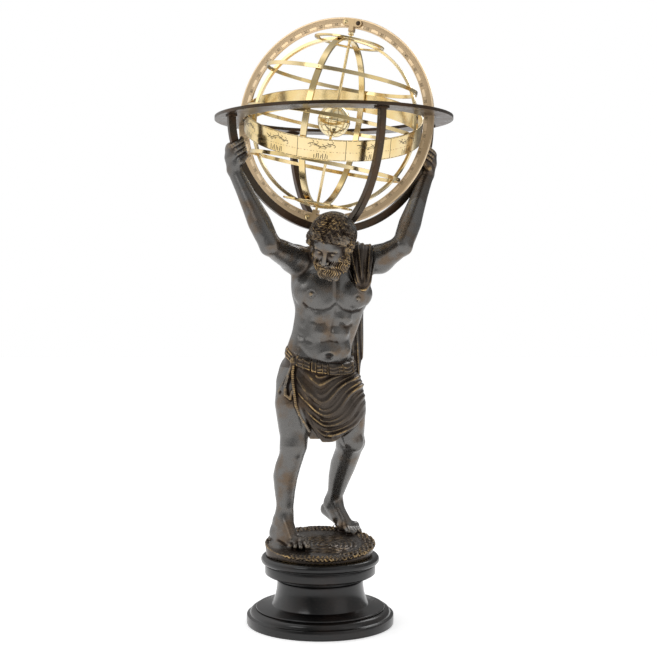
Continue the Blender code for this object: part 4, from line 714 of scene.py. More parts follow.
def model_legs(clay):
    left_knee, left_ankle = (-33.4, -12, 138), (-45.9, 8, 44)
    thigh = [
        (0, 27, 27), (0.35, 25.5, 25.5, -1.8, 0), (0.7, 20.5, 20.5, -0.6, 0), (0.9, 17.2, 17.2),
        (1, 15, 15),
    ]
    shank = [
        (0, 16.4, 16.5), (0.14, 15.6, 16.5, -0.8, -1), (0.3, 15.9, 17.6, -3.6, -3),
        (0.45, 15.6, 17.2, -5.0, -3.5), (0.62, 13.4, 14.5, -3.6, -2.5), (0.8, 11.2, 11.8, -1.2, -0.8),
        (0.92, 10.6, 11), (1, 11.0, 12),
    ]
    clay.add(limb((-28, -3, 214), left_knee, (1, 0, 0), thigh), 6)
    clay.add(limb(left_knee, left_ankle, (1, 0, 0), shank), 6)
    clay.add(egg((-30, -20, 142), (9, 8, 16)), 6)
    clay.add(egg((-38, 6, 218), (16, 24, 32)), 6)
    clay.add(egg((-53, 14, 28), (10, 13, 14)), 8)
    clay.add(bone((-46, 6, 48), (-35, -15, 21), 9.0, 8.6), 8)
    clay.add(bone((-51, 10, 40), (-46, -4, 25), 8.0, 8.0), 6)
    clay.add(bone((-55, 10, 23), (-42, -10, 18), 9, 7.5), 6)
    clay.add(bone((-43, -8, 18.5), (-23, -17, 19), 8, 8), 5)
    tips = [
        (-41.5, -19, 14.6), (-36.6, -24.5, 14.4), (-30.6, -29, 14.4), (-23.8, -32, 14.4),
        (-15.4, -32.5, 15.4),
    ]
    toe_row(clay, (-44, -8, 17), (-20, -18, 18), tips, (2.8, 2.9, 3.0, 3.1, 4.2))

    right_knee, right_ankle = (39, 24, 138), (17, 71, 56)
    thigh = [
        (0, 27, 27), (0.35, 26, 26, 1, 0), (0.7, 21.5, 21.5, 0.5, 0), (0.9, 18.4, 18.4),
        (1, 17.5, 17.5),
    ]
    shank = [
        (0, 17, 16.5), (0.2, 16.4, 17.5, 0.5, -2), (0.42, 16.4, 17.5, -0.2, -4),
        (0.62, 14.2, 14.5, -0.5, -2.5), (0.85, 10.8, 11.2, 0.3, 0), (1, 9.8, 10.5),
    ]
    clay.add(limb((27, 8, 212), right_knee, (1, 0, 0), thigh), 6)
    clay.add(limb(right_knee, right_ankle, (1, 0, 0), shank), 6)
    clay.add(egg((45, 10, 139), (9.5, 7, 11)), 5)
    clay.add(egg((35, 7, 144), (7, 6, 9)), 5)
    clay.add(egg((9.5, 70, 50), (4, 5, 6.5)), 8)
    clay.add(egg((24, 66, 52), (4, 5, 6.5)), 8)
    clay.add(bone((9.5, 82, 42), (31, 57, 27), 9.2, 7.4), 5)
    clay.add(bone((17.5, 69, 58), (35.5, 50, 26.5), 7.8, 7.0), 7)
    clay.add(bone((13.0, 70, 50), (22.0, 62, 35), 7.0, 6.5), 5)
    clay.add(bone((31, 51, 24.5), (45, 59, 24), 7.2, 6.4), 5)
    tips = [(36.6, 35.5, 21.2), (41.6, 36.5, 20.6), (45.2, 39, 20.6), (48.6, 42, 20.6), (51.4, 46, 20.6)]
    toe_row(clay, (32, 50, 24), (46, 58, 23), tips, (4.0, 3.1, 3.0, 2.9, 2.7))


def model_ground(clay):
    """The sloping patch of ground with its lumpy border and swirled top."""

    def disc(x, y, z):
        r = np.sqrt(x * x + y * y)
        wall = r - (65.5 + 0.2 * np.minimum(z, 14.0))
        top = z - ground_height(y)
        return np.maximum(np.maximum(wall, top), -z) + 0.0 * x

    clay.add((disc, np.array((-72.0, -72.0, 0.0)), np.array((72.0, 72.0, 30.0))), 3)
    clay.add(egg((-49, -8, 4), (17.5, 25, 15.5)), 8)
    clay.cut(bone((-66, -3, 26.5), (-42, -25, 15.5), 0.9, 0.9), 1.5)

    def border(x, y, z):
        r = np.sqrt(x * x + y * y)
        ring = fade(r, 54.0, 7.0) * (1.0 - fade(r, 70.0, 3.0))
        face = np.arctan2(y, x)
        bare = bell(face + 2.6, 0.62)
        top = fade(z, ground_height(y) - 2.0, 2.5)
        lump = 1.0 - np.abs(gyroid(x + 1.5 * np.sin(y * 0.4), y, z * 0.8, 10.5))
        lump = lump + 0.7 * gyroid(x, y + 3.0, z, 5.4)
        foot = np.exp(-((((x - 38.0) / 19.0) ** 2 + ((y - 49.0) / 15.0) ** 2) ** 2))
        top = top * (1.0 - fade(z, ground_height(y) + 4.0, 1.5)) * (1.0 - foot)
        return ring * top * (1.0 - bare) * (1.1 + 1.5 * lump)

    clay.relief((-72.0, -72.0, 2.0), (72.0, 72.0, 32.0), 4.0, border)

    def swirl(x, y, z):
        dx, dy = x - 7.0, (y + 5.0) * 1.1
        r = np.sqrt(dx * dx + dy * dy)
        wave = np.sin(r * 1.05 + np.arctan2(dy, dx))
        keep = (1.0 - fade(r, 42.0, 16.0)) * (1.0 - fade(z, ground_height(y) + 2.5, 1.5))
        return 0.5 * (wave + 0.7 * gyroid(x, y, z, 13.0)) * keep

    clay.relief((-40.0, -55.0, 4.0), (56.0, 50.0, 24.0), 3.0, swirl)


SKIRT = [
    (138, 7, 2, 17, 22, 9), (152, 9, 4, 30, 29, 12), (162, 10, 6, 41, 33, 14), (172, 9, 7, 46, 36, 16),
    (185, 5, 6, 51.5, 37, 18), (203, 1.5, 4, 53, 36.5, 20), (222, 0, 2, 49, 34.5, 20),
    (240, -1, 0, 45, 31.5, 20), (256, -1, 0, 41.5, 29, 19),
]


def model_skirt(clay):
    """The loincloth, its folds, and the rolled belt with its pleats."""
    fn, low, high = column(SKIRT)

    def cloth(x, y, z):
        body = fn(x, y, z)
        front_hem = skirt_hem(x) + 0.0 * z
        side_hem = 184.0 + 0.15 * (y + 10.0)
        mix = fade(-x, 20.0, 16.0)
        behind = fade(y, 8.0, 24.0) * 18.0
        hem = front_hem * (1.0 - mix) + side_hem * mix + behind * (1.0 - mix)
        seam = skirt_seam(z)
        open_front = np.where(y < 2.0, (seam - x) * 0.85, -30.0)
        open_front = np.maximum(np.minimum(open_front, -y - 1.0), -30.0)
        return np.maximum(np.maximum(body, hem - z), np.maximum(open_front, z - belt_height(x, y)))

    clay.add((cloth, low, high), 2.0)

    def folds(x, y, z):
        dx = x - (8.0 - 0.10 * (z - 150.0))
        left_climb = 1.25 * (np.sqrt(dx * dx + 90.0) - 9.5)
        right_climb = 0.7 * (np.sqrt(dx * dx + 150.0) - 12.2)
        climb = np.where(dx < 0.0, left_climb, right_climb)
        phase = (z - climb - 144.0) / 16.4 + 0.26 * np.sin(z * 0.075 + x * 0.045)
        saw = phase - np.floor(phase)
        deep = 0.75 + 0.5 * np.sin(1.7 * np.floor(phase) + 0.085 * x)
        ridge = bell(saw - 0.26, 0.19) - 0.45
        ridge = ridge + 0.4 * bell(saw - 0.68, 0.1) * (dx > -6.0)
        front = 1.0 - fade(y, 16.0, 26.0)
        edge = (1.0 - 0.35 * fade(x, 46.0, 14.0)) * (1.0 - 0.65 * fade(-dx, 16.0, 10.0))
        seam = skirt_seam(z) + 3.0
        panel = bell(x - seam - 9.0 - 0.05 * (222.0 - z), 3.6)
        panel = 1.5 * panel * (1.0 - fade(z, 214.0, 10.0))
        keep = fade(x - seam, 2.0, 6.0) * (1.0 - fade(z, belt_height(x, y) - 7.0, 5.0)) * fade(z, 141.0, 3.0)
        leg_free = fade(z - skirt_hem(x), 0.0, 4.0)
        back = np.sin((x - 0.25 * (z - 200.0)) * 0.52 + 0.6 * np.sin(z * 0.07)) * 0.8
        rise = (3.5 * deep * ridge * edge + panel) * front + 1.6 * back * (1.0 - front)
        return keep * leg_free * rise

    clay.relief((-62.0, -48.0, 139.0), (68.0, 50.0, 262.0), 6.0, folds)

    def belt(x, y, z):
        body = fn(x, y, z)
        middle = belt_height(x, y) + 1.0
        thick = body - 2.2
        height = np.abs(z - middle) - 6.3
        return np.sqrt(np.maximum(thick + 2.5, 0) ** 2 + np.maximum(height + 2.5, 0) ** 2) - 2.5 + np.minimum(
            np.maximum(thick + 2.5, height + 2.5), 0.0)

    clay.add((belt, np.array((-56.0, -46.0, 215.0)), np.array((56.0, 50.0, 285.0))), 1.5)

    def pleats(x, y, z):
        along = np.arctan2(y - 1.0, x + 1.0) * 44.0
        band = 1.0 - fade(np.abs(z - belt_height(x, y) - 1.0), 6.5, 2.0)
        cross = np.cos(2.0 * math.pi * (along / 13.0 + 0.3 * np.sin(along * 0.21 + 0.8)))
        bundle = np.cos(2.0 * math.pi * (z - belt_height(x, y)) / 4.2 + 1.5 * np.sin(along * 0.23)) * 0.55
        knot = np.where(cross > 0.82, 0.7, 0.0)
        return band * (0.75 * bundle * (cross < 0.7) - 1.2 * (np.abs(cross - 0.76) < 0.12) + knot)

    clay.relief((-56.0, -46.0, 212.0), (56.0, 50.0, 285.0), 4.0, pleats)


CORD = [
    (-32.5, -29, 243), (-34, -32.5, 231), (-33.8, -34, 219), (-32, -35, 204), (-30, -36, 190),
    (-25.5, -37, 179), (-21, -37, 171), (-17.5, -36.5, 165.5), (-13.5, -35, 158),
]


def model_cords(clay):
    """The hanging cord, its loop and the loose ends."""
    clay.add(egg((-32.5, -27.5, 244), (5.2, 4.5, 6.0)), 1.5)
    for a, b in zip(CORD, CORD[1:]):
        clay.add(bone(a, b, 1.6, 1.6), 0.8)
    loop = [
        (-34.5, -29, 239), (-40, -30, 226), (-43.5, -30, 214), (-43, -31, 203), (-37, -33.5, 198.5),
        (-34.5, -34, 207),
    ]
    for a, b in zip(loop, loop[1:]):
        clay.add(bone(a, b, 1.9, 1.9), 1.0)
    for dx, dz in ((-9, 196), (-14, 192), (-19, 190)):
        clay.add(bone((-34, -27, 240), (-33 + dx, -24 - 0.12 * dx, dz + 16), 2.2, 1.4), 2.0)


def model_mantle(clay):
    """Cloth over the viewer's right shoulder, looped in front and hanging down the back."""
    loop = [
        (0, 13.5, 6), (0.35, 13.6, 7), (0.65, 12.4, 7, 0.3, 0), (0.85, 9.0, 5.6, 1, 0),
        (1, 3.5, 2.5, 1.2, 0),
    ]
    clay.add(bone((49, -20, 383), (48, 18, 378), 9.5, 9.5), 4)
    clay.add(limb((51.5, -23, 386), (52.5, -33.5, 333), (1, 0.3, 0), loop), 2)
    tail = [(0, 12, 6), (0.4, 12.5, 6), (0.8, 12, 5.5), (1, 9.5, 4.5)]
    clay.add(limb((46, 20, 376), (45, 25, 300), (1, 0.35, 0), tail), 3)
    clay.add(limb((45, 25, 306), (42, 24.5, 226), (1, 0.45, 0), tail), 3)

    def creases(x, y, z):
        foot_x, foot_z = 54.5, 334.0
        reach = np.maximum(z - foot_z, 0.0)
        width = 3.5 + 0.2 * reach + 3.2 * np.minimum(reach / 9.0, 1.0)
        spread = (x - foot_x + 0.09 * reach * (x < foot_x)) / width
        wave = np.cos(2.0 * math.pi * (spread * 1.55 + 0.004 * reach + 0.12))
        wave += 0.4 * np.cos(2.0 * math.pi * (spread * 3.3 - 0.01 * reach))
        low = np.hypot((x - 53.0) / 11.5, (z - 347.0) / 17.0)
        rim = bell(low - 0.86, 0.13) * (1.0 - fade(z, 350.0, 16.0))
        hollow = np.exp(-((x - 51.0) / 3.6) ** 2 - ((z - 346.0) / 9.0) ** 2)
        keep = fade(z, 328.0, 3.0) * (1.0 - fade(np.abs(x - 52.0), 14.5, 3.0)) * (1.0 - fade(y, 2.0, 10.0))
        long_folds = wave * fade(z, 346.0, 16.0)
        return (1.35 * long_folds + 1.5 * rim - 2.4 * hollow) * keep

    clay.relief((32.0, -50.0, 324.0), (72.0, 10.0, 402.0), 5.0, creases)

    def back(x, y, z):
        wave = np.cos((x - 46.0 + 0.05 * (z - 300.0)) * 0.95)
        keep = fade(y, 12.0, 14.0) * (1.0 - fade(np.abs(x - 46.0), 13.0, 3.0))
        return wave * keep

    clay.relief((28.0, 8.0, 214.0), (64.0, 46.0, 396.0), 5.0, back)


def model_head(clay):
    """Skull, face, beard and hair."""
    clay.add(head_egg((0, -3, 5), (24.5, 26, 23.5)), 5)
    clay.add(head_egg((0, 6.5, -10), (18.5, 17, 23)), 5)
    clay.add(head_bone((-11, 18.5, 4.6), (11, 18.5, 4.6), 4.2, 4.2), 3.5)
    for side in (-1, 1):
        clay.cut(head_egg((8.6 * side, 24.3, -1.6), (6.0, 5.0, 3.9)), 3.0)
        clay.add(head_egg((8.2 * side, 16.6, -2.0), (5.2, 5.0, 4.2)), 0.8)
        clay.add(head_egg((12.5 * side, 14.5, -9), (6.4, 6.6, 5.6)), 4)
        clay.add(head_bone((3.4 * side, 22.3, 3.9), (13.5 * side, 18.2, 3.4), 1.5, 1.1), 1.6)
    clay.add(head_bone((0, 21.5, 2.5), (0, 28.4, -11.6), 2.3, 2.9), 2.4)
    for side in (-1, 1):
        clay.add(head_egg((3.3 * side, 25.2, -12.2), (2.4, 2.9, 2.2)), 1.2)
    clay.add(head_egg((0, 23.0, -21.6), (5.0, 2.6, 1.9)), 1.2)
    clay.add(head_egg((1.5, 12.5, -29), (17, 12.5, 15)), 5)
    for side in (-1, 1):
        clay.add(head_egg(((14.5 + 2.2 * side) * side, 6 - 1.5 * side, -20), (8.6, 10, 17)), 4)
        clay.add(head_egg(((5.5 + 2.0 * side) * side, 14, -35.5), (9.0, 8.6, 9.4)), 2.4)
        clay.add(head_bone((1.6 * side, 25.0, -16.6), (8.0 * side, 22.4, -17.6), 2.5, 2.5), 1.6)
        clay.add(head_bone((8.0 * side, 22.4, -17.6), (14.0 * side, 17.0, -21.5), 2.5, 1.6), 1.6)
    hair = head_egg((0, -7.5, 8.0), (28.6, 27, 27.4))
    clay.add(hair, 2.0)
    for place, radii in (
        ((-12.5, 12.0, 17.5), (12.0, 9.0, 7.5)), ((13.0, 12.5, 16.5), (14.0, 9.5, 8.5)),
        ((-24.0, 2.0, 4.0), (6.5, 11.5, 12.0)), ((23.0, 4.0, 4.0), (6.5, 11.0, 11.0)),
        ((17.5, -11.0, -6.0), (6.0, 10.0, 9.0)), ((-17.5, -11.0, -6.0), (6.0, 10.0, 9.0)),
        ((0.0, -18.0, -4.0), (22.0, 12.0, 16.0)),
    ):
        clay.add(head_egg(place, radii), 2.5)
    clay.cut(head_bone((-4.0, 25.0, 18.0), (-2.0, -2.0, 36.0), 2.2, 1.6), 3.5)

    def locks(x, y, z):
        s, f, u = head_space(x, y, z)
        scalp = np.maximum(fade(u, 13.0 - 0.35 * np.maximum(np.abs(s) - 14.0, 0.0), 3.0), fade(-f, -6.0, 8.0))
        sides = fade(np.abs(s), 19.5, 4.0) * (1.0 - fade(f, 13.0, 5.0))
        hairy = np.maximum(scalp, sides) * fade(u, -24.0, 8.0)
        right = 0.62 * s + 0.9 * u - 0.7 * f + 1.7 * np.sin(0.3 * (s - 0.6 * u) + 0.08 * f)
        left = 0.15 * s + 0.95 * u - 0.45 * f + 1.3 * np.sin(0.36 * s + 0.4)
        nape = s + 1.8 * np.sin(0.33 * u + 0.2 * f)
        flow = np.where(s > -2.0, right, left)
        behind = fade(-f, 4.0, 6.0)
        flow = flow * (1.0 - behind) + nape * behind
        strands = 0.55 * np.sin(flow * 0.62) + 0.5 * np.sin(flow * STRAND_PITCH + 0.9 * np.sin(flow * 0.7))
        strands += 0.4 * gyroid(s, 1.4 * f, u, 9.0) + 0.35 * gyroid(s + 2.0, f, 1.2 * u, 5.0)
        beard = fade(-u, 16.0 - 0.6 * np.abs(s), 4.0) * fade(f, -8.0, 10.0) * fade(u, -50.0, 2.0)
        lip = bell(u + 17.3 + 0.01 * s * s, 2.6) * fade(f, 15.0, 5.0) * (np.abs(s) < 15.0)
        fall = s * (1.0 + 0.008 * (u + 20.0)) + 1.5 * np.sin(0.38 * u + 0.2 * np.abs(s))
        tuft = 0.6 * np.sin(fall * 0.75) + 0.55 * np.sin(fall * STRAND_PITCH)
        tuft += 0.3 * np.sin(u * 0.6 + 0.5 * fall)
        mouth = np.exp(-((u + 21.4) / 2.4) ** 2 - (s / 6.0) ** 2) * fade(f, 18.0, 4.0)
        bearded = np.maximum(beard * (1.0 - hairy) * (1.0 - mouth), 0.5 * lip)
        rise = 0.85 * hairy * strands + 0.8 * bearded * tuft
        near = 1.0 - fade(np.sqrt(s * s + (0.9 * f) ** 2 + (0.72 * (u + 8.0)) ** 2), 34.0, 3.0)
        return near * rise

    clay.relief((-28.0, -118.0, 332.0), (56.0, -24.0, 440.0), 3.5, locks)


STRAND_PITCH = 3.1
LEFT_GRIP = math.radians(18.5)
RIGHT_GRIP = math.radians(17.3)


def model_figure(clay):
    model_trunk(clay)
    model_legs(clay)
    model_ground(clay)
    model_skirt(clay)
    model_cords(clay)
    model_neck(clay)
    model_arms(clay)
    model_mantle(clay)
    model_head(clay)


# The casting's pieces, meshed from the distance field more finely than the solid
def value_at(clay, points):
    """The field between grid points."""
    origin = np.array([axis[0] for axis in clay.axes])
    at = (points - origin) / clay.cell
    top = np.array(clay.field.shape) - 2
    low = np.clip(np.floor(at).astype(np.int64), 0, top)
    t = np.clip(at - low, 0.0, 1.0)
    total = np.zeros(len(points))
    for i in (0, 1):
        for j in (0, 1):
            for k in (0, 1):
                weight = np.ones(len(points))
                for n, step in enumerate((i, j, k)):
                    weight *= t[:, n] if step else 1.0 - t[:, n]
                total += weight * clay.field[low[:, 0] + i, low[:, 1] + j, low[:, 2] + k]
    return total


def slopes(clay, points):
    """Unit normals of the field."""
    out = np.zeros_like(points)
    for axis in range(3):
        step = np.zeros(3)
        step[axis] = 0.6 * clay.cell
        out[:, axis] = value_at(clay, points + step) - value_at(clay, points - step)
    return out / np.maximum(np.linalg.norm(out, axis=1), 1e-9)[:, None]


def softened(points, edges, rounds):
    """Points moved towards their neighbours."""
    count = np.bincount(edges.ravel(), minlength=len(points))
    for _ in range(rounds):
        sums = np.stack([
            np.bincount(edges[:, 0], points[edges[:, 1], n], len(points))
            + np.bincount(edges[:, 1], points[edges[:, 0], n], len(points))
            for n in range(3)
        ], 1)
        points = 0.5 * points + 0.5 * sums / np.maximum(count, 1)[:, None]
    return points


def inside(points, box, grow):
    low, high = np.array(box[0]) - grow, np.array(box[1]) + grow
    return np.all((points > low) & (points < high), axis=1)


def dress(points):
    """One on cloth, hair, beard and ground, nought on skin."""
    x, y, z = points.T
    s, f, u = head_space(x, y, z)
    head = (1.0 - fade(np.sqrt(s * s + f * f + (0.8 * (u + 6.0)) ** 2), 34.0, 3.0)) * (z > 330.0)
    face = fade(f, 9.0, 3.0) * (1.0 - fade(np.abs(s), 16.0, 3.0))
    face = face * fade(u, -17.0, 2.0) * (1.0 - fade(u, 13.0, 2.0))
    hair = head * (1.0 - face)
    cloth = (1.0 - fade(z, belt_height(x, y) + 7.0, 2.0)) * fade(z, skirt_hem(x) - 1.0, 1.5)
    legs = fade(skirt_seam(z) - x, 0.0, 1.5) * (y < 2.0) * (z < 236.0)
    ground = 1.0 - fade(z, ground_height(y) + 2.5, 2.0)
    lobe = np.hypot((x - 52.5) / 13.5, np.minimum(z - 350.0, 0.0) / 20.0)
    mantle = (1.0 - fade(lobe, 0.95, 0.1)) * (1.0 - fade(z, 384.0, 6.0)) * (y < -15.0) * (z > 320.0)
    tail = fade(y, 17.0, 2.0) * (x > 30.0) * (z > 226.0)
    return np.clip(hair + cloth * (1.0 - legs) + ground + mantle + 0.6 * tail, 0.0, 1.0)


def figure_piece(name, box, holes, cell, mat):
    """One part of the casting, meshed from the clay inside the box and outside the holes."""
    pad = max(3.0 * cell, 7.0)
    clay = Clay([v - pad for v in box[0]], [v + pad for v in box[1]], cell)
    model_figure(clay)
    model_fine(clay)
    points, quads = clay.skin()
    edges = np.concatenate([quads[:, (i, (i + 1) % 4)] for i in range(4)])
    edges = np.unique(np.sort(edges, axis=1), axis=0)
    normals = slopes(clay, points)
    fine = softened(points, edges, max(2, round((0.9 / cell) ** 2 * 3)))
    broad = softened(fine, edges, max(4, round((1.0 / cell) ** 2 * 14)))
    crest = np.einsum("ij,ij->i", points - fine, normals)
    swell = np.einsum("ij,ij->i", points - broad, normals)
    # deep: how closed in each point is, read from the field three units outward; the bronze paints shade from
    # it
    deep = np.clip(1.0 - value_at(clay, points + 3.0 * normals) / 3.0, 0.0, 1.0)
    middle = points[quads].mean(1)
    keep = inside(middle, box, 0.5 * cell)
    for hole in holes:
        keep &= ~inside(middle, hole, -0.5 * cell)
    keep &= middle[:, 2] > 0.02
    quads = quads[keep]
    used = np.unique(quads)
    new = np.full(len(points), -1)
    new[used] = np.arange(len(used))
    points = points[used]
    points[:, 2] = np.maximum(points[:, 2], 0.0)
    mesh = bpy.data.meshes.new(name)
    mesh.from_pydata((points * UNIT + np.array((0.0, 0.0, GROUND_Z))).tolist(), [], new[quads].tolist())
    for key, value in (("crest", crest), ("swell", swell), ("deep", deep), ("dress", dress(points))):
        layer = mesh.attributes.new(key, "FLOAT", "POINT")
        value = value[used] if len(value) > len(used) else value
        layer.data.foreach_set("value", value.astype(np.float32))
    mesh.shade_smooth()
    mesh.normals_split_custom_set_from_vertices(normals[used].tolist())
    mesh.materials.append(mat)
    thing = placed(name, mesh)
    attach(thing, STAND)
    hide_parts("atlas_figure")


def cradle_room(clay):
    """Opens the hands for the two bars of the cradle."""
    centre = (SPHERE - UP * GROUND_Z) / UNIT
    inner, outer = (HOOP_INNER - GRIP_GAP) / UNIT, (HOOP_OUTER + GRIP_GAP) / UNIT
    half = (0.5 * CRADLE_WIDTH + GRIP_GAP) / UNIT
    for turn in (45.0, -45.0):
        normal = np.array(hoop_direction(turn).cross(UP))

        def bar(x, y, z, normal=normal):
            dx, dy, dz = x - centre.x, y - centre.y, z - centre.z
            along = dx * normal[0] + dy * normal[1] + dz * normal[2]
            radius = np.sqrt(np.maximum(dx * dx + dy * dy + dz * dz - along * along, 1e-6))
            wide = np.abs(radius - 0.5 * (inner + outer)) - 0.5 * (outer - inner)
            return np.maximum(wide, np.abs(along) - half)

        reach = np.full(3, outer)
        clay.cut((bar, np.array(centre) - reach, np.array(centre) + reach), 0.4)


CORD_BEAD = (2.0, 2.0, 1.15)
CORD_STEP = 2.5


def model_fine(clay):
    """Carving too fine for the solid: the twist of the cord, and room for the cradle in the hands."""
    along = 0.0
    for a, b in zip(CORD, CORD[1:]):
        a, b = np.array(a, float), np.array(b, float)
        length = np.linalg.norm(b - a)
        while along < length:
            clay.add(egg(a + (b - a) * along / length, CORD_BEAD), 0.3)
            along += CORD_STEP
        along -= length
    cradle_room(clay)


def dark_bronze():
    """Grey skin with a satin sheen, brown patina in the hollows deepened by painted shade, rubbed to gold on
    the ridges.
    """
    n = Nodes("dark_bronze")
    crest = n.ramp(n.attribute("crest"), 0.03, 0.2)
    swell = n.ramp(n.attribute("swell"), 0.1, 0.55)
    sunk = n.ramp(n.times(n.attribute("crest"), -1.0), 0.02, 0.2)
    low = n.ramp(n.times(n.attribute("swell"), -1.0), 0.08, 0.5)
    # Painted shade: closed-in places (deep) and concave hollows darken the bronze towards near-black, partly
    # standing for the brown patina of the hollows
    deep = n.ramp(n.attribute("deep"), 0.05, 0.6)
    patina_and_shade = n.math("MINIMUM", n.plus(deep, n.times(n.plus(sunk, low), 0.55)), 1.0)
    patch = n.noise(34.0, 4.0)
    fine = n.noise(420.0, 3.0)
    dressed = n.attribute("dress")
    rub = n.times(n.plus(crest, n.times(swell, 0.25)), n.ramp(fine, 0.3, 0.62, 0.4, 1.0))
    worn = n.times(n.math("MINIMUM", rub, 1.0), n.ramp(patch, 0.4, 0.6, 0.2, 1.0))
    worn = n.times(worn, n.math("SUBTRACT", 1.0, n.times(patina_and_shade, 0.6)), n.ramp(dressed, 0.0, 1.0, 0.5, 1.0))
    base = n.mix(n.ramp(patch, 0.46, 0.7), (0.148, 0.143, 0.137), (0.14, 0.1, 0.068))
    base = n.mix(n.times(dressed, 0.75), base, (0.042, 0.026, 0.015))
    # Painted shade with the patina: the hollows go almost black
    base = n.mix(n.times(patina_and_shade, 0.9), base, (0.02, 0.0105, 0.006))
    colour = n.mix(n.times(worn, 0.85), base, (0.58, 0.39, 0.17))
    roughness = n.plus(n.ramp(fine, 0.3, 0.7, 0.24, 0.34), n.times(patina_and_shade, 0.15))
    n.set(Base_Color=colour, Metallic=0.8, Roughness=roughness)
    n.bump(fine, 0.1, 0.0004)
    return n.mat


FIGURE_BRONZE = dark_bronze()
HEAD_BOX = ((-24.0, -140.0, 334.0), (52.0, -26.0, 440.0))
LEFT_HAND_BOX = ((-140.0, -140.0, 455.0), (-60.0, 0.0, 540.0))
RIGHT_HAND_BOX = ((95.0, -60.0, 455.0), (170.0, 60.0, 540.0))
FINE_BOXES = (HEAD_BOX, LEFT_HAND_BOX, RIGHT_HAND_BOX)
# Name, the box that the piece fills, the boxes that finer pieces fill, and the size of its mesh
for label, box, holes, cell in (
    ("figure_ground", ((-75.0, -75.0, -5.0), (75.0, 108.0, 62.0)), (), 0.85),
    ("figure_legs", ((-75.0, -75.0, 62.0), (75.0, 108.0, 150.0)), (), 1.0),
    ("figure_skirt", ((-75.0, -75.0, 150.0), (75.0, 108.0, 262.0)), (), 0.8),
    ("figure_trunk", ((-128.0, -118.0, 262.0), (166.0, 108.0, 540.0)), FINE_BOXES, 1.0),
    ("figure_head", HEAD_BOX, (), 0.6),
    ("figure_left_hand", LEFT_HAND_BOX, (), 0.65),
    ("figure_right_hand", RIGHT_HAND_BOX, (), 0.65),
):
    figure_piece(label, box, holes, cell, FIGURE_BRONZE)


# Rings, hoops and turned parts
THIN_EDGE = 0.0003
METAL_EDGE = 0.0004
COLURE_THICK = 0.0036
COLURE_LAP = 0.00006
POLAR_RING_FACE = 0.0060
ZODIAC_THICK = 0.0015
ZODIAC_TILT = 22.5
HOUSE_PHASE = -2.2
SCREW_SEAT = 0.0002
INK_LIFT = 0.00003


def rounded(corners, radius, steps=3):
    """Closed outline of a polygon with rounded corners, as points and outward normals."""
    points, normals = [], []
    count = len(corners)
    for i in range(count):
        here = np.array(corners[i])
        before = np.array(corners[i - 1]) - here
        after = np.array(corners[(i + 1) % count]) - here
        before = before / np.linalg.norm(before)
        after = after / np.linalg.norm(after)
        half = 0.5 * math.acos(max(-1.0, min(1.0, float(before @ after))))
        away = radius / math.tan(half)
        centre = here + (before + after) / np.linalg.norm(before + after) * radius / math.sin(half)
        first = here + before * away - centre
        last = here + after * away - centre
        for k in range(steps + 1):
            ray = first * (steps - k) + last * k
            ray = ray / np.linalg.norm(ray)
            points.append(centre + ray * radius)
            normals.append(ray)
    return np.array(points), np.array(normals)


def box_section(inner, outer, low, high, radius=THIN_EDGE):
    return rounded([(inner, low), (outer, low), (outer, high), (inner, high)], radius)


def settle(name, mesh, matrix, role):
    """Makes a piece square to the world and keeps its own ring coordinates in the attribute called place."""
    body, node, slot, mat = role
    flat = np.zeros(3 * len(mesh.vertices), np.float32)
    mesh.vertices.foreach_get("co", flat)
    mesh.attributes.new("place", "FLOAT_VECTOR", "POINT").data.foreach_set("vector", flat)
    mesh.transform(matrix.to_3x3().to_4x4())
    mesh.materials.clear()
    mesh.materials.append(mat)
    thing = placed(name, mesh)
    thing.location = matrix.translation
    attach(thing, body)
    if node:
        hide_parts(node)


def finish_mesh(name, verts, faces, normals, matrix, role):
    mesh = bpy.data.meshes.new(name)
    mesh.from_pydata(np.asarray(verts).tolist(), [], faces)
    mesh.shade_smooth()
    if normals is None:
        mesh.set_sharp_from_angle(angle=math.radians(32.0))
    else:
        mesh.normals_split_custom_set_from_vertices(np.asarray(normals).tolist())
    settle(name, mesh, matrix, role)


def sweep(name, section, matrix, role, start=0.0, end=360.0, steps=192):
    """A section of radius and height carried round the local z axis, from start to end in degrees."""
    points, outward = section
    whole = end - start > 359.9
    turns = np.radians(np.linspace(start, end, steps + 1))
    turns = turns[:-1] if whole else turns
    rows, count = len(turns), len(points)
    c, s = np.cos(turns)[:, None], np.sin(turns)[:, None]

    def around(pairs):
        r, z = pairs[:, 0][None, :], pairs[:, 1][None, :]
        return np.stack([r * c, r * s, np.broadcast_to(z, (rows, count))], 2).reshape(-1, 3)

    faces = []
    for i in range(rows if whole else rows - 1):
        for j in range(count):
            a, b = i * count, (i + 1) % rows * count
            k = (j + 1) % count
            faces.append((a + j, b + j, b + k, a + k))
    if not whole:
        faces.append(tuple(range(count)))
        faces.append(tuple(range(rows * count - 1, (rows - 1) * count - 1, -1)))
    finish_mesh(name, around(points), faces, around(outward), matrix, role)


def lathe(name, profile, matrix, role, steps=96):
    """A turned piece from radius and height pairs, both ends on the axis."""
    verts, faces = [(0.0, 0.0, profile[0][1]), (0.0, 0.0, profile[-1][1])], []
    rings = profile[1:-1]
    for r, z in rings:
        for i in range(steps):
            turn = 2.0 * math.pi * i / steps
            verts.append((r * math.cos(turn), r * math.sin(turn), z))
    for i in range(steps):
        k = (i + 1) % steps
        faces.append((0, 2 + k, 2 + i))
        faces.append((1, 2 + (len(rings) - 1) * steps + i, 2 + (len(rings) - 1) * steps + k))
        for j in range(len(rings) - 1):
            a, b = 2 + j * steps, 2 + (j + 1) * steps
            faces.append((a + i, a + k, b + k, b + i))
    faces = [face[::-1] for face in faces] if profile[0][1] < profile[-1][1] else faces
    finish_mesh(name, verts, faces, None, matrix, role)


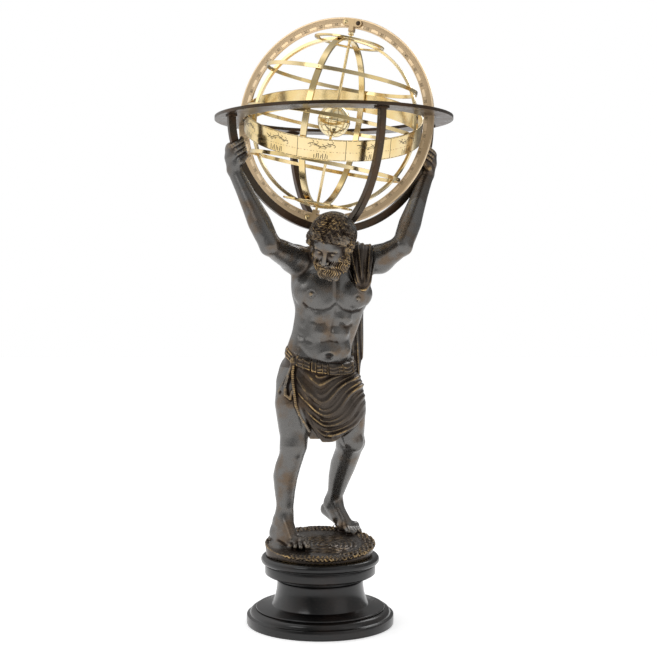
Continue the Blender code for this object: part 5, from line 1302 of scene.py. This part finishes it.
def plate(name, outline, thick, matrix, role, bevel=THIN_EDGE, holes=()):
    """A flat piece cut to an outline, with eased edges, its middle on the local z = 0 plane."""
    curve = bpy.data.curves.new(name, "CURVE")
    curve.dimensions = "2D"
    curve.fill_mode = "BOTH"
    curve.extrude = 0.5 * thick
    for loop in (outline, *holes):
        spline = curve.splines.new("POLY")
        spline.points.add(len(loop) - 1)
        for point, (x, y) in zip(spline.points, loop):
            point.co = (x, y, 0.0, 1.0)
        spline.use_cyclic_u = True
    rough = meshed(name, curve)
    build = bmesh.new()
    build.from_mesh(rough)
    bmesh.ops.remove_doubles(build, verts=build.verts, dist=0.00001)
    bmesh.ops.recalc_face_normals(build, faces=build.faces)
    build.to_mesh(rough)
    build.free()
    rough.shade_smooth()
    block = placed(name + "_rough", rough)
    ease = block.modifiers.new("ease", "BEVEL")
    ease.width = bevel
    ease.segments = 2
    ease.limit_method = "ANGLE"
    ease.angle_limit = math.radians(50.0)
    ease.harden_normals = True
    bpy.context.view_layer.update()
    mesh = bpy.data.meshes.new_from_object(block.evaluated_get(bpy.context.evaluated_depsgraph_get()))
    bpy.data.objects.remove(block)
    mesh.name = name
    settle(name, mesh, matrix, role)


def meshed(name, curve):
    """The mesh of a curve or a text."""
    shape = placed(name + "_outline", curve)
    bpy.context.view_layer.update()
    mesh = bpy.data.meshes.new_from_object(shape)
    bpy.data.objects.remove(shape)
    return mesh


def arc_points(radius, start, end, steps, centre=(0.0, 0.0)):
    turns = np.radians(np.linspace(start, end, steps + 1))
    return [(centre[0] + radius * math.cos(t), centre[1] + radius * math.sin(t)) for t in turns]


def pill(length, height, radius):
    """Outline of a plate with rounded corners."""
    x, y = 0.5 * length - radius, 0.5 * height - radius
    loop = []
    for start, cx, cy in ((0, x, y), (90, -x, y), (180, -x, -y), (270, x, -y)):
        for point in arc_points(radius, start, start + 90, 6, (cx, cy)):
            if not loop or math.dist(point, loop[-1]) > 0.0001:
                loop.append(point)
    return loop


# Metals
def brushed_iron():
    """Dark bronze of the hoops and the horizon, turned in fine rings and worn brown."""
    n = Nodes("oxidised_bronze")
    radius = n.polar()[0]
    lines = n.node("ShaderNodeTexNoise", noise_dimensions="1D")
    n.put(lines.inputs["W"], n.times(radius, 2600.0))
    lines.inputs["Detail"].default_value = 3.0
    streak = lines.outputs["Fac"]
    patch = n.noise(30.0, 4.0)
    fine = n.noise(330.0, 3.0)
    brown = n.times(n.ramp(patch, 0.4, 0.62), n.ramp(streak, 0.3, 0.7, 0.4, 1.0))
    colour = n.mix(brown, (0.055, 0.042, 0.029), (0.082, 0.043, 0.022))
    colour = n.mix(n.ramp(fine, 0.6, 0.75, 0.0, 0.45), colour, (0.17, 0.12, 0.08))
    n.set(Base_Color=colour, Metallic=0.8, Roughness=n.ramp(patch, 0.3, 0.7, 0.24, 0.36))
    n.bump(n.plus(streak, n.times(fine, 0.6)), 0.12, 0.0003)
    return n.mat


def gold(name, low, high, rough, engraved=None):
    """Brass with small changes of tone and, where a ring is engraved, dark lines cut in it."""
    n = Nodes(name)
    patch = n.noise(24.0, 3.0)
    fine = n.noise(520.0, 2.0)
    colour = n.mix(n.ramp(patch, 0.35, 0.65), low, high)
    colour = n.mix(n.ramp(fine, 0.66, 0.8, 0.0, 0.25), colour, tuple(0.55 * v for v in low))
    roughness = n.ramp(patch, 0.3, 0.7, rough, rough * 1.35)
    if engraved:
        cut, matt = engraved(n)
        colour = n.mix(n.times(cut, 0.8), colour, (0.1, 0.06, 0.028))
        if matt is not None:
            colour = n.mix(n.times(matt, 0.75), colour, tuple(0.74 * v for v in low))
            roughness = n.plus(roughness, n.times(matt, 0.14))
        n.bump(n.math("SUBTRACT", 1.0, cut), 0.35, 0.0002)
    n.set(Base_Color=colour, Metallic=1.0, Roughness=roughness)
    return n.mat


def near(n, value, target, half):
    """One where value lies within half of target, eased at its edge."""
    gap = n.math("ABSOLUTE", n.math("SUBTRACT", value, target))
    return n.ramp(gap, half * 0.75, half * 1.25, 1.0, 0.0)


def from_line(n, value, step, phase=0.0):
    """Distance from the nearest of the lines that repeat every step."""
    share = n.math("FRACT", n.plus(n.math("DIVIDE", value, step), 0.5 + phase))
    return n.times(n.math("ABSOLUTE", n.math("SUBTRACT", share, 0.5)), step)


def grid_line(n, value, step, half):
    """One on lines that repeat every step."""
    return near(n, from_line(n, value, step), 0.0, half)


def between(n, value, low, high):
    return n.times(n.math("GREATER_THAN", value, low), n.math("LESS_THAN", value, high))


def meridian_lines(n):
    """Degree ladder, number boxes and fine rings on both faces of the meridian."""
    radius, turn, height = n.polar()
    share = n.math("DIVIDE", n.math("SUBTRACT", radius, MERIDIAN_INNER), MERIDIAN_R - MERIDIAN_INNER)
    side = from_line(n, turn, 10.0)
    boxes = between(n, share, 0.1, 0.42)
    ladder = between(n, share, 0.42, 0.52)
    fine = between(n, share, 0.52, 0.84)
    total = n.most(
        n.times(near(n, share, 0.1, 0.022), 0.7),
        n.times(near(n, share, 0.42, 0.02), 0.8),
        n.times(near(n, share, 0.84, 0.016), 0.5),
        n.times(ladder, grid_line(n, turn, 1.0, 0.12), 0.8),
        n.times(boxes, near(n, side, 2.5, 0.14), 0.8),
        n.times(fine, grid_line(n, share, 0.08, 0.018), 0.4),
    )
    flat = n.math("GREATER_THAN", n.math("ABSOLUTE", height), 0.0017)
    number_room = n.times(boxes, n.math("LESS_THAN", side, 2.5), 0.8)
    matt = n.most(fine, n.times(ladder, 0.7), number_room)
    return n.times(total, flat), n.times(matt, flat)


def globe_lines(n):
    """Meridians every 30 degrees and parallels every 22.5 on the little globe."""
    radius, turn, height = n.polar()
    slope = n.times(n.math("ARCTAN2", height, radius), 180.0 / math.pi)
    return n.most(grid_line(n, turn, 30.0, 1.1), grid_line(n, slope, 22.5, 1.0)), None


def ink():
    n = Nodes("engraving")
    colour = n.mix(n.noise(300.0), (0.03, 0.02, 0.01), (0.07, 0.045, 0.02))
    n.set(Base_Color=colour, Metallic=0.3, Roughness=0.5)
    return n.mat


def lacquer():
    n = Nodes("black_lacquer")
    patch = n.noise(26.0, 4.0)
    specks = n.noise(700.0, 2.0)
    colour = n.mix(n.ramp(patch, 0.42, 0.7), (0.003, 0.0028, 0.0028), (0.012, 0.007, 0.005))
    colour = n.mix(n.ramp(specks, 0.7, 0.78, 0.0, 0.6), colour, (0.2, 0.15, 0.11))
    roughness = n.ramp(patch, 0.3, 0.7, 0.16, 0.26)
    n.set(Base_Color=colour, Metallic=0.0, IOR=1.5, Coat_Weight=0.0, Roughness=roughness)
    n.bump(n.noise(60.0, 2.0), 0.05, 0.0006)
    return n.mat


IRON = brushed_iron()
ROSE = gold("pale_brass", (0.7, 0.52, 0.32), (0.78, 0.61, 0.4), 0.3, meridian_lines)
ROSE_PLAIN = gold("pale_brass_plain", (0.42, 0.3, 0.16), (0.52, 0.38, 0.22), 0.3)
GOLD = gold("polished_brass", (0.78, 0.59, 0.27), (0.87, 0.7, 0.4), 0.14)
GILT = gold("gilt_globe", (0.82, 0.68, 0.38), (0.9, 0.77, 0.48), 0.12, globe_lines)
INK = ink()
BLACK = lacquer()


# What a piece rides on, the node that it replaces, its slot and its material
def iron(node):
    return STAND, node, "oxidised_bronze", IRON


def rose(node, mat=ROSE_PLAIN):
    return STAND, node, "pale_brass", mat


def brass(node, mat=GOLD):
    return SPHERE_BODY, node, "polished_brass", mat


# The plinth's mouldings in millimetres, radius and height: the fillets under the cap, the neck's two beads,
# the step above the foot, and the foot with its small quirk.
PLINTH_TOP_FILLETS = (
    (69.0, 74.6), (68.4, 74.2), (68.4, 73.7), (69.3, 73.3), (69.5, 72.8), (69.5, 63.2), (69.3, 62.7),
    (68.8, 62.2), (67.2, 61.1), (66.2, 60.5), (65.2, 60.3), (51.2, 60.3), (50.6, 60.0), (50.5, 59.4),
    (50.5, 54.8), (50.8, 54.3), (51.6, 54.2), (53.4, 54.1), (53.9, 53.8), (54.1, 53.0),
)
PLINTH_STEP = ((60.6, 24.4), (60.7, 24.0), (61.2, 23.8), (79.0, 21.4))
PLINTH_FOOT = (
    (80.6, 18.9), (81.8, 18.8), (83.6, 18.6), (85.4, 17.9), (86.8, 16.8), (87.8, 15.4), (88.4, 13.8),
    (88.6, 12.8), (89.0, 12.5), (91.2, 12.1), (92.0, 11.8), (92.4, 11.1), (92.4, 1.2), (92.1, 0.4),
)
CAP_R, CAP_Z, CAP_HALF = 74.5, 80.0, 5.2
FLARE_TOP_R, FLARE_OUT, FLARE_HIGH, FLARE_LOW, FLARE_POWER = 54.1, 6.1, 53.0, 25.0, 2.1
QUIRK_R, QUIRK_Z, QUIRK_OUT, QUIRK_UP = 79.7, 20.0, 1.2, 1.3


def plinth():
    """Turned foot, flared neck and torus cap, with the small fillets of the mouldings."""
    bottom, top = spans("plinth", (0, 0, 0), (0, 0, 1))[2:]
    loop = []
    for angle in range(85, -91, -10):
        turn = math.radians(angle)
        loop.append((CAP_R - CAP_HALF + CAP_HALF * math.cos(turn), CAP_Z + CAP_HALF * math.sin(turn)))
    loop += PLINTH_TOP_FILLETS
    for i in range(1, 15):
        share = i / 14.0
        out = FLARE_OUT * share ** FLARE_POWER
        loop.append((FLARE_TOP_R + out, FLARE_HIGH - share * (FLARE_HIGH - FLARE_LOW)))
    loop += PLINTH_STEP
    for i in range(9):
        turn = math.radians(80.0 - 20.0 * i)
        loop.append((QUIRK_R + QUIRK_OUT * math.cos(turn), QUIRK_Z + QUIRK_UP * math.sin(turn)))
    loop += PLINTH_FOOT
    outline = [(0.0, top), ((CAP_R - CAP_HALF - 0.2) / 1000.0, top)]
    outline += [(r / 1000.0, z / 1000.0) for r, z in loop]
    outline += [(0.0914, bottom), (0.0, bottom)]
    lathe("turned_plinth", outline, Matrix.Identity(4), (STAND, "plinth", "black_lacquer", BLACK), 144)


HORIZON_EDGE = 0.0006
NOTCH_PLAY = 0.00075


def horizon():
    """The flat ring with its two notches; gives back the height of its underside."""
    inner, outer, low, high = spans("horizon_ring", (SPHERE.x, SPHERE.y, 0.0), UP)
    half = 0.5 * (MERIDIAN_HIGH - MERIDIAN_LOW) + NOTCH_PLAY
    far = math.degrees(math.asin(half / HOOP_INNER))
    nigh = math.degrees(math.asin(half / inner))
    hole = []
    for side in (0.0, 180.0):
        hole += arc_points(HOOP_INNER, side - far, side + far, 4)
        hole += arc_points(inner, side + nigh, side + 180.0 - nigh, 120)
    matrix = frame_from(ACROSS, UP, (SPHERE.x, SPHERE.y, 0.5 * (low + high)))
    rim = arc_points(outer, 0.0, 358.5, 239)
    plate("horizon_plate", rim, high - low, matrix, iron("horizon_ring"), HORIZON_EDGE, (hole,))
    return low


def screw(name, place, out, radius, role, height=0.0008, turn=30.0):
    """A domed head with a slot across it."""
    body, slot, mat = role
    matrix = frame_from(Vector(out).orthogonal(), out, place) @ spin(turn)
    dome = [(radius * out, height * up) for out, up in ((0.0, 1.0), (0.45, 0.97), (0.8, 0.75), (1.0, 0.25))]
    dome += [(radius, -SCREW_SEAT), (0.0, -SCREW_SEAT)]
    lathe(name, dome, matrix, (body, None, slot, mat), 24)
    bar = pill(radius * 1.7, radius * 0.28, radius * 0.1)
    plate(name + "_slot", bar, 0.0003, matrix @ shift(0, 0, height), (body, None, slot, INK), 0.00005)


HOOP_EDGE = 0.0011
HOOP_LAP = 0.0004
FLANGE_LONG, FLANGE_WIDE, FLANGE_CORNER, FLANGE_THICK = 0.0110, 0.0170, 0.0028, 0.0020
FLANGE_SCREW_OUT = 0.0062
FLANGE_SCREW_R = 0.0014


def cradle(top):
    """Two half hoops, lapped where they cross, with a screwed flange at each end under the horizon."""
    rise = top - SPHERE.z
    level = math.degrees(math.asin((rise - 0.0004) / HOOP_OUTER))
    half = 0.5 * CRADLE_WIDTH
    for label, turn, lap in (("hoop_a", 45.0, 0.0), ("hoop_b", -45.0, HOOP_LAP)):
        out = hoop_direction(turn)
        section = box_section(HOOP_INNER + lap, HOOP_OUTER + lap, -half, half, HOOP_EDGE)
        matrix = frame_from(out, out.cross(UP), SPHERE)
        upside = (matrix.to_3x3() @ Vector((0, 1, 0))).z > 0
        start, end = (-180.0 - level, level) if upside else (-level, 180.0 + level)
        sweep("cradle_" + label, section, matrix, iron("cradle"), start, end, 120)
    outline = pill(FLANGE_LONG, FLANGE_WIDE, FLANGE_CORNER)
    sink = 0.5 * FLANGE_THICK
    for i, turn in enumerate((45.0, -45.0, 135.0, -135.0)):
        out = hoop_direction(turn)
        place = Vector((SPHERE.x, SPHERE.y, top - sink)) + out * 0.5 * (HOOP_OUTER + HOOP_INNER)
        matrix = frame_from(out, UP, place)
        plate(f"cradle_flange_{i}", outline, FLANGE_THICK, matrix, iron("cradle"), METAL_EDGE)
        for letter, sign in (("a", 1), ("b", -1)):
            spot = place + Vector(out).cross(UP) * sign * FLANGE_SCREW_OUT - UP * sink
            role = (STAND, "oxidised_bronze", IRON)
            screw(f"flange_screw_{i}_{letter}", spot, -UP, FLANGE_SCREW_R, role, 0.0006, 20.0 + 50.0 * i)


NUMBER_SIZE = 0.0046


def number(value):
    """The mesh of a plain number, lying on the local xy plane."""
    curve = bpy.data.curves.new(f"degree_{value}", "FONT")
    curve.body = str(value)
    curve.size = NUMBER_SIZE
    curve.align_x = "CENTER"
    curve.align_y = "CENTER"
    curve.extrude = 0.00005
    curve.resolution_u = 3
    return meshed(curve.name, curve)


def built(name, build, matrix, role, smooth=False):
    """Settles what a bmesh holds."""
    mesh = bpy.data.meshes.new(name)
    build.to_mesh(mesh)
    build.free()
    if smooth:
        mesh.shade_smooth()
    settle(name, mesh, matrix, role)


def meridian():
    """The engraved ring and, on both its faces, the tens of degrees from the nearer pole."""
    matrix = frame_from(POLAR, MERIDIAN_NORMAL, SPHERE)
    section = box_section(MERIDIAN_INNER, MERIDIAN_R, MERIDIAN_LOW, MERIDIAN_HIGH, METAL_EDGE)
    sweep("meridian_engraved", section, matrix, rose("meridian_ring", ROSE), steps=240)
    glyphs = {value: number(value) for value in range(10, 91, 10)}
    middle = MERIDIAN_INNER + 0.25 * (MERIDIAN_R - MERIDIAN_INNER)
    build = bmesh.new()
    for distance in range(0, 360, 10):
        value = min(distance % 180, 180 - distance % 180)
        if not value:
            continue
        for face, high, flip in ((-1, MERIDIAN_LOW, 180.0), (1, MERIDIAN_HIGH, 0.0)):
            glyph = glyphs[value].copy()
            lifted = shift(middle, 0.0, high + face * 0.00004)
            glyph.transform(spin(distance) @ lifted @ spin(-90.0) @ spin(flip, "Y"))
            build.from_mesh(glyph)
            bpy.data.meshes.remove(glyph)
    built("meridian_numbers", build, matrix, rose(None, INK))


BRACKET_THICK = 0.0022
BRACKET_GAP = 0.0003
BRACKET_LONG, BRACKET_HIGH, BRACKET_CORNER = 0.0260, 0.0094, 0.0046
BOSS_LONG, BOSS_DEEP, BOSS_CORNER, BOSS_TALL, BOSS_BORE_R = 0.0070, 0.0078, 0.0006, 0.0045, 0.0016
WEB_WIDE, WEB_CORNER, WEB_TOP, WEB_FOOT, WEB_PROUD = 0.0062, 0.0005, 0.0044, 0.001, 0.00012
BRACKET_SCREW_OUT, BRACKET_SCREW_R, BRACKET_SCREW_HIGH = 0.0084, 0.0029, 0.0010


def bracket(name, pole):
    """Plate, web and bored boss at one pole, on the camera's face of the meridian, with two screws."""
    place = frame_from(MERIDIAN_NORMAL.cross(POLAR) * pole, POLAR * pole, SPHERE)
    face = -0.5 * (MERIDIAN_HIGH - MERIDIAN_LOW) - BRACKET_GAP - 0.5 * BRACKET_THICK
    up = MERIDIAN_INNER + 0.5 * (MERIDIAN_R - MERIDIAN_INNER)
    lay = spin(90.0, "X")
    role = rose("pole_bracket_" + name)
    outline = pill(BRACKET_LONG, BRACKET_HIGH, BRACKET_CORNER)
    matrix = place @ shift(0.0, face, up) @ lay
    plate(f"bracket_plate_{name}", outline, BRACKET_THICK, matrix, role, METAL_EDGE)
    high = MERIDIAN_INNER - BRACKET_GAP
    low = high - BOSS_TALL
    outline = pill(BOSS_LONG, BOSS_DEEP, BOSS_CORNER)
    matrix = place @ shift(0.0, 0.0, 0.5 * (low + high))
    bore = arc_points(BOSS_BORE_R, 0.0, 350.0, 35)
    plate(f"bracket_boss_{name}", outline, high - low, matrix, role, holes=(bore,))
    low, high = low + WEB_FOOT, up + WEB_TOP
    outline = pill(WEB_WIDE, high - low, WEB_CORNER)
    matrix = place @ shift(0.0, face - WEB_PROUD, 0.5 * (low + high)) @ lay
    plate(f"bracket_web_{name}", outline, BRACKET_THICK, matrix, role)
    out = place.to_3x3() @ Vector((0.0, -1.0, 0.0))
    for letter, sign, slot, mat in (("l", -1, "polished_brass", GOLD), ("r", 1, "oxidised_bronze", IRON)):
        spot = place @ Vector((sign * BRACKET_SCREW_OUT * pole, face - 0.5 * BRACKET_THICK, up))
        role = (STAND, slot, mat)
        screw(f"bracket_screw_{name}_{letter}", spot, out, BRACKET_SCREW_R, role, BRACKET_SCREW_HIGH, 35.0)


def rivet_row(name, spots, radius):
    """Small domed rivet heads, each at a place with its outward direction."""
    build = bmesh.new()
    for spot, out in spots:
        turn = Vector(out).to_track_quat("Z", "Y").to_matrix().to_4x4()
        place = Matrix.Translation(spot) @ turn @ Matrix.Diagonal((1.0, 1.0, 0.45, 1.0))
        bmesh.ops.create_uvsphere(build, u_segments=12, v_segments=6, radius=radius, matrix=place)
    built(name, build, CAGE_FRAME, brass(None), True)


BORDER = 0.93
DASH_LEVEL = 0.18


def zodiac_marks(matrix, radius, low, high):
    """Cuts on the band's outer face: borders, twelve houses, a dot and dash line, sprigs and stroke rows."""
    build = bmesh.new()
    lift = radius + INK_LIFT

    def stroke(points, width):
        """A ribbon on the cylinder through turn and height pairs."""
        points = [np.array(p) for p in points]
        left, right = [], []
        for i, p in enumerate(points):
            ahead = points[min(i + 1, len(points) - 1)] - points[max(i - 1, 0)]
            run = np.array((math.radians(ahead[0]) * radius, ahead[1]))
            run = run / max(np.linalg.norm(run), 1e-9)
            side = np.array((-run[1], run[0])) * 0.5 * width
            for row, sign in ((left, 1.0), (right, -1.0)):
                turn = math.radians(p[0]) + sign * side[0] / radius
                place = (lift * math.cos(turn), lift * math.sin(turn), p[1] + sign * side[1])
                row.append(build.verts.new(place))
        for i in range(len(points) - 1):
            build.faces.new((left[i], right[i], right[i + 1], left[i + 1]))

    half = 0.5 * (high - low)
    for level in (-BORDER * half, BORDER * half):
        stroke([(t, level) for t in range(0, 361, 3)], 0.0006)
    for t in range(0, 360, 2):
        stroke([(t, -DASH_LEVEL * half), (t + (1.1 if t % 4 else 0.5), -DASH_LEVEL * half)], 0.0005)
    for house in range(12):
        start = house * 30.0 + HOUSE_PHASE
        stroke([(start, -BORDER * half), (start, BORDER * half)], 0.0007)
        rng = np.random.default_rng(41 + house)
        centre = start + 15.0
        stem = []
        for i in range(25):
            share = i / 24.0
            sway = 0.14 * math.sin(2.0 * math.pi * (share * 1.5 + 0.13 * house))
            stem.append((centre + (share - 0.5) * 17.0, half * (0.42 + sway)))
        stroke(stem, 0.0007)
        stroke([(turn + 0.6, height - 0.13 * half) for turn, height in stem[3:21]], 0.00055)
        for i in range(11):
            turn, height = stem[int((i + 0.5) / 11.0 * 24)]
            reach = 0.18 + 0.12 * rng.random()
            way = (1.0 if i % 2 else -1.0) * half * reach * 0.5
            bends = [math.pi * k / 8.0 for k in range(9)]
            curl = [(turn + 1.5 * math.sin(b * 0.9), height + way * (1.0 - math.cos(b))) for b in bends]
            stroke(curl, 0.0006)
        for i in range(7):
            x = centre - 4.2 + 1.35 * i
            tip = -0.36 if (i + house) % 3 else -0.5
            stroke([(x, -0.84 * half), (x + 0.45 * (i % 2), tip * half)], 0.0009)
    built("zodiac_engraving", build, matrix, brass(None, INK))


RIVET_R = 0.0010
PEG_R = 0.0014
PEG_IN_BAND = 0.0005
ROD_R, ROD_END_R, BEARING_R = 0.0018, 0.0010, 0.0012


def colures():
    """The two great rings through the poles; gives back their outer radius."""
    upright = CAGE_FRAME @ spin(90.0, "X")
    turned = CAGE_FRAME @ spin(90.0) @ spin(90.0, "X")
    for name, matrix, shrink in (
        ("solstitial_colure", upright, 0.0),
        ("equinoctial_colure", turned, COLURE_LAP),
    ):
        outer, low, high = spans(name, CAGE, matrix.to_3x3() @ Vector((0, 0, 1)))[1:]
        section = box_section(outer - COLURE_THICK + shrink, outer - shrink, low, high)
        sweep(name + "_ring", section, matrix, brass(name), steps=180)
    return outer


def parallels(sphere_r):
    """Equator, tropics and polar rings, each riveted to the colures at four places."""
    rivets = []
    for name in (
        "equator_ring", "tropic_of_cancer_ring", "tropic_of_capricorn_ring", "arctic_ring", "antarctic_ring",
    ):
        outer, low, high = spans(name, CAGE, POLAR)[1:]
        flat = "arctic" in name
        nearest = 0.0 if low * high < 0 else min(abs(low), abs(high))
        inner = outer - POLAR_RING_FACE if flat else math.sqrt(sphere_r ** 2 - nearest ** 2) + THIN_EDGE
        sweep(name + "_band", box_section(inner, outer, low, high), CAGE_FRAME, brass(name), steps=168)
        for turn in range(0, 360, 90):
            ray = spin(turn).to_3x3() @ Vector((1.0, 0.0, 0.0))
            if flat:
                out, level = outer - 0.5 * POLAR_RING_FACE, high if low > 0 else low
                way = UP if low > 0 else -UP
            else:
                out, level, way = outer, 0.5 * (low + high), ray
            rivets.append((ray * out + UP * level, way))
    rivet_row("cage_rivets", rivets, RIVET_R)


def zodiac(sphere_r):
    """The broad engraved band and the two pegs that carry it."""
    matrix = CAGE_FRAME @ spin(ZODIAC_TILT, "Y")
    outer, low, high = spans("zodiac_band", CAGE, matrix.to_3x3() @ Vector((0, 0, 1)))[1:]
    section = box_section(outer - ZODIAC_THICK, outer, low, high)
    sweep("zodiac_hoop", section, matrix, brass("zodiac_band"), steps=216)
    zodiac_marks(matrix, outer, low, high)
    near_end, far_end = sphere_r + THIN_EDGE, outer - PEG_IN_BAND
    peg = [(0.0, near_end), (PEG_R, near_end), (PEG_R, far_end), (0.0, far_end)]
    for turn in (0, 180):
        lathe(f"zodiac_peg_{turn}", peg, matrix @ spin(turn) @ spin(90.0, "Y"), brass("zodiac_band"), 20)


def polar_rod():
    """The rod that turns in the brackets, with its collar."""
    across, along = about("polar_axis", CAGE, POLAR)
    north, south, reach = along.max(), along.min(), across.max()
    collar = along[across > 0.9 * reach]
    low, high = collar.min(), collar.max()
    foot = along[(across > 0.0016) & (along < 0)].min()
    eased = THIN_EDGE
    profile = [
        (0.0, south), (ROD_END_R, south), (BEARING_R, south + eased), (BEARING_R, foot),
        (ROD_R - 0.0001, foot + 0.0001), (ROD_R, foot + eased), (ROD_R, low - 0.0004),
        (reach - 0.0006, low - 0.0001), (reach, low + eased), (reach, low + 0.0014),
        (reach - 0.0005, low + 0.0017), (reach - 0.0005, low + 0.0021), (reach - 0.0002, high - eased),
        (reach - 0.0008, high), (BEARING_R, high), (BEARING_R, north - eased), (ROD_END_R, north),
        (0.0, north),
    ]
    lathe("polar_rod", profile, CAGE_FRAME, brass("polar_axis"), 32)


GLOBE_R, GLOBE_HALF_HIGH, GLOBE_BEAD = 0.0204, 0.0207, 0.0003


def globe():
    """The little globe with a bead round its equator."""
    rise = float((node_points("globe").mean(0) - np.array(CAGE)) @ np.array(POLAR))
    ball = [(0.0, -GLOBE_HALF_HIGH)]
    for i in range(1, 60):
        turn = math.radians(-90.0 + 3.0 * i)
        proud = GLOBE_BEAD if 28 < i < 32 else 0.0
        ball.append(((GLOBE_R + proud) * math.cos(turn), GLOBE_HALF_HIGH * math.sin(turn)))
    ball.append((0.0, GLOBE_HALF_HIGH))
    lathe("gilt_globe", ball, CAGE_FRAME @ shift(0.0, 0.0, rise), brass("globe", GILT), 96)


plinth()
cradle(horizon() - 0.0003)
meridian()
bracket("north", 1)
bracket("south", -1)
outer_r = colures()
parallels(outer_r)
zodiac(outer_r)
polar_rod()
globe()


# Studio
def studio():
    """White paper to the eye; for reflections, soft boxes left, right and above with dark gaps between."""
    scene = bpy.context.scene
    world = bpy.data.worlds.new("studio")
    scene.world = world
    world.use_nodes = True
    tree = world.node_tree
    out = tree.nodes["World Output"]
    seen = tree.nodes["Background"]
    seen.inputs[0].default_value = (1.0, 1.0, 1.0, 1.0)
    room = tree.nodes.new("ShaderNodeBackground")
    path = tree.nodes.new("ShaderNodeLightPath")
    mix = tree.nodes.new("ShaderNodeMixShader")
    tree.links.new(path.outputs["Is Camera Ray"], mix.inputs[0])
    tree.links.new(room.outputs[0], mix.inputs[1])
    tree.links.new(seen.outputs[0], mix.inputs[2])
    tree.links.new(mix.outputs[0], out.inputs[0])
    split = tree.nodes.new("ShaderNodeSeparateXYZ")
    tree.links.new(tree.nodes.new("ShaderNodeTexCoord").outputs["Generated"], split.inputs[0])

    def step(operation, a, b=0.0):
        node = tree.nodes.new("ShaderNodeMath")
        node.operation = operation
        for socket, value in zip(node.inputs, (a, b)):
            if isinstance(value, bpy.types.NodeSocket):
                tree.links.new(value, socket)
            else:
                socket.default_value = value
        return node.outputs[0]

    turn = step("ARCTAN2", split.outputs[1], split.outputs[0])
    twice = step("MULTIPLY", step("ADD", turn, 0.35), 2.0)
    waves = step("ADD", step("MULTIPLY", step("COSINE", twice), 0.5), 0.5)
    lean = step("SUBTRACT", 1.0, step("MULTIPLY", step("COSINE", turn), 0.58))
    sides = step("MULTIPLY", step("MULTIPLY", step("POWER", waves, 0.8), 0.76), lean)
    above = step("MULTIPLY", step("MAXIMUM", split.outputs[2], 0.0), 0.3)
    total = step("ADD", step("ADD", sides, above), 0.19)
    tree.links.new(total, room.inputs[1])
    scene.view_settings.view_transform = "Standard"
    for name, power, size, place, aim in LAMPS:
        lamp = bpy.data.lights.new(name, "AREA")
        lamp.energy = power
        lamp.size = size
        thing = placed(name, lamp)
        thing.location = place
        thing.rotation_euler = (Vector(aim) - Vector(place)).to_track_quat("-Z", "Y").to_euler()


LAMPS = (
    ("key", 2.8, 0.7, (-1.0, -1.1, 1.2), (0.0, 0.0, 0.4)),
    ("fill", 0.8, 0.9, (1.2, -0.9, 0.6), (0.0, 0.0, 0.35)),
    ("rim", 3.5, 0.6, (0.6, 0.9, 1.2), (0.0, 0.0, 0.5)),
)


def floor():
    """White paper under the plinth."""
    bpy.ops.mesh.primitive_plane_add(size=12.0)
    ground = bpy.context.object
    ground.name = "floor"
    n = Nodes("floor_paper")
    n.set(Base_Color=n.mix(n.noise(3.0), (0.9, 0.9, 0.9), (0.93, 0.93, 0.93)), Roughness=0.7)
    n.set(Emission_Color=(1.0, 1.0, 1.0, 1.0), Emission_Strength=0.5)
    ground.data.materials.append(n.mat)


FOCAL_PX = 1260.0
IMAGE_PX = 657.0
EYE = (0.0, -1.589, 0.4205)
SHIFT_PX = (8.3, -40.5)


def camera():
    data = bpy.data.cameras.new("camera")
    eye = placed("camera", data)
    data.sensor_width = 36.0
    data.lens = data.sensor_width * FOCAL_PX / IMAGE_PX
    data.shift_x = SHIFT_PX[0] / IMAGE_PX
    data.shift_y = SHIFT_PX[1] / IMAGE_PX
    eye.location = EYE
    eye.rotation_euler = (math.radians(90.0), 0.0, 0.0)
    bpy.context.scene.camera = eye


studio()
floor()
camera()
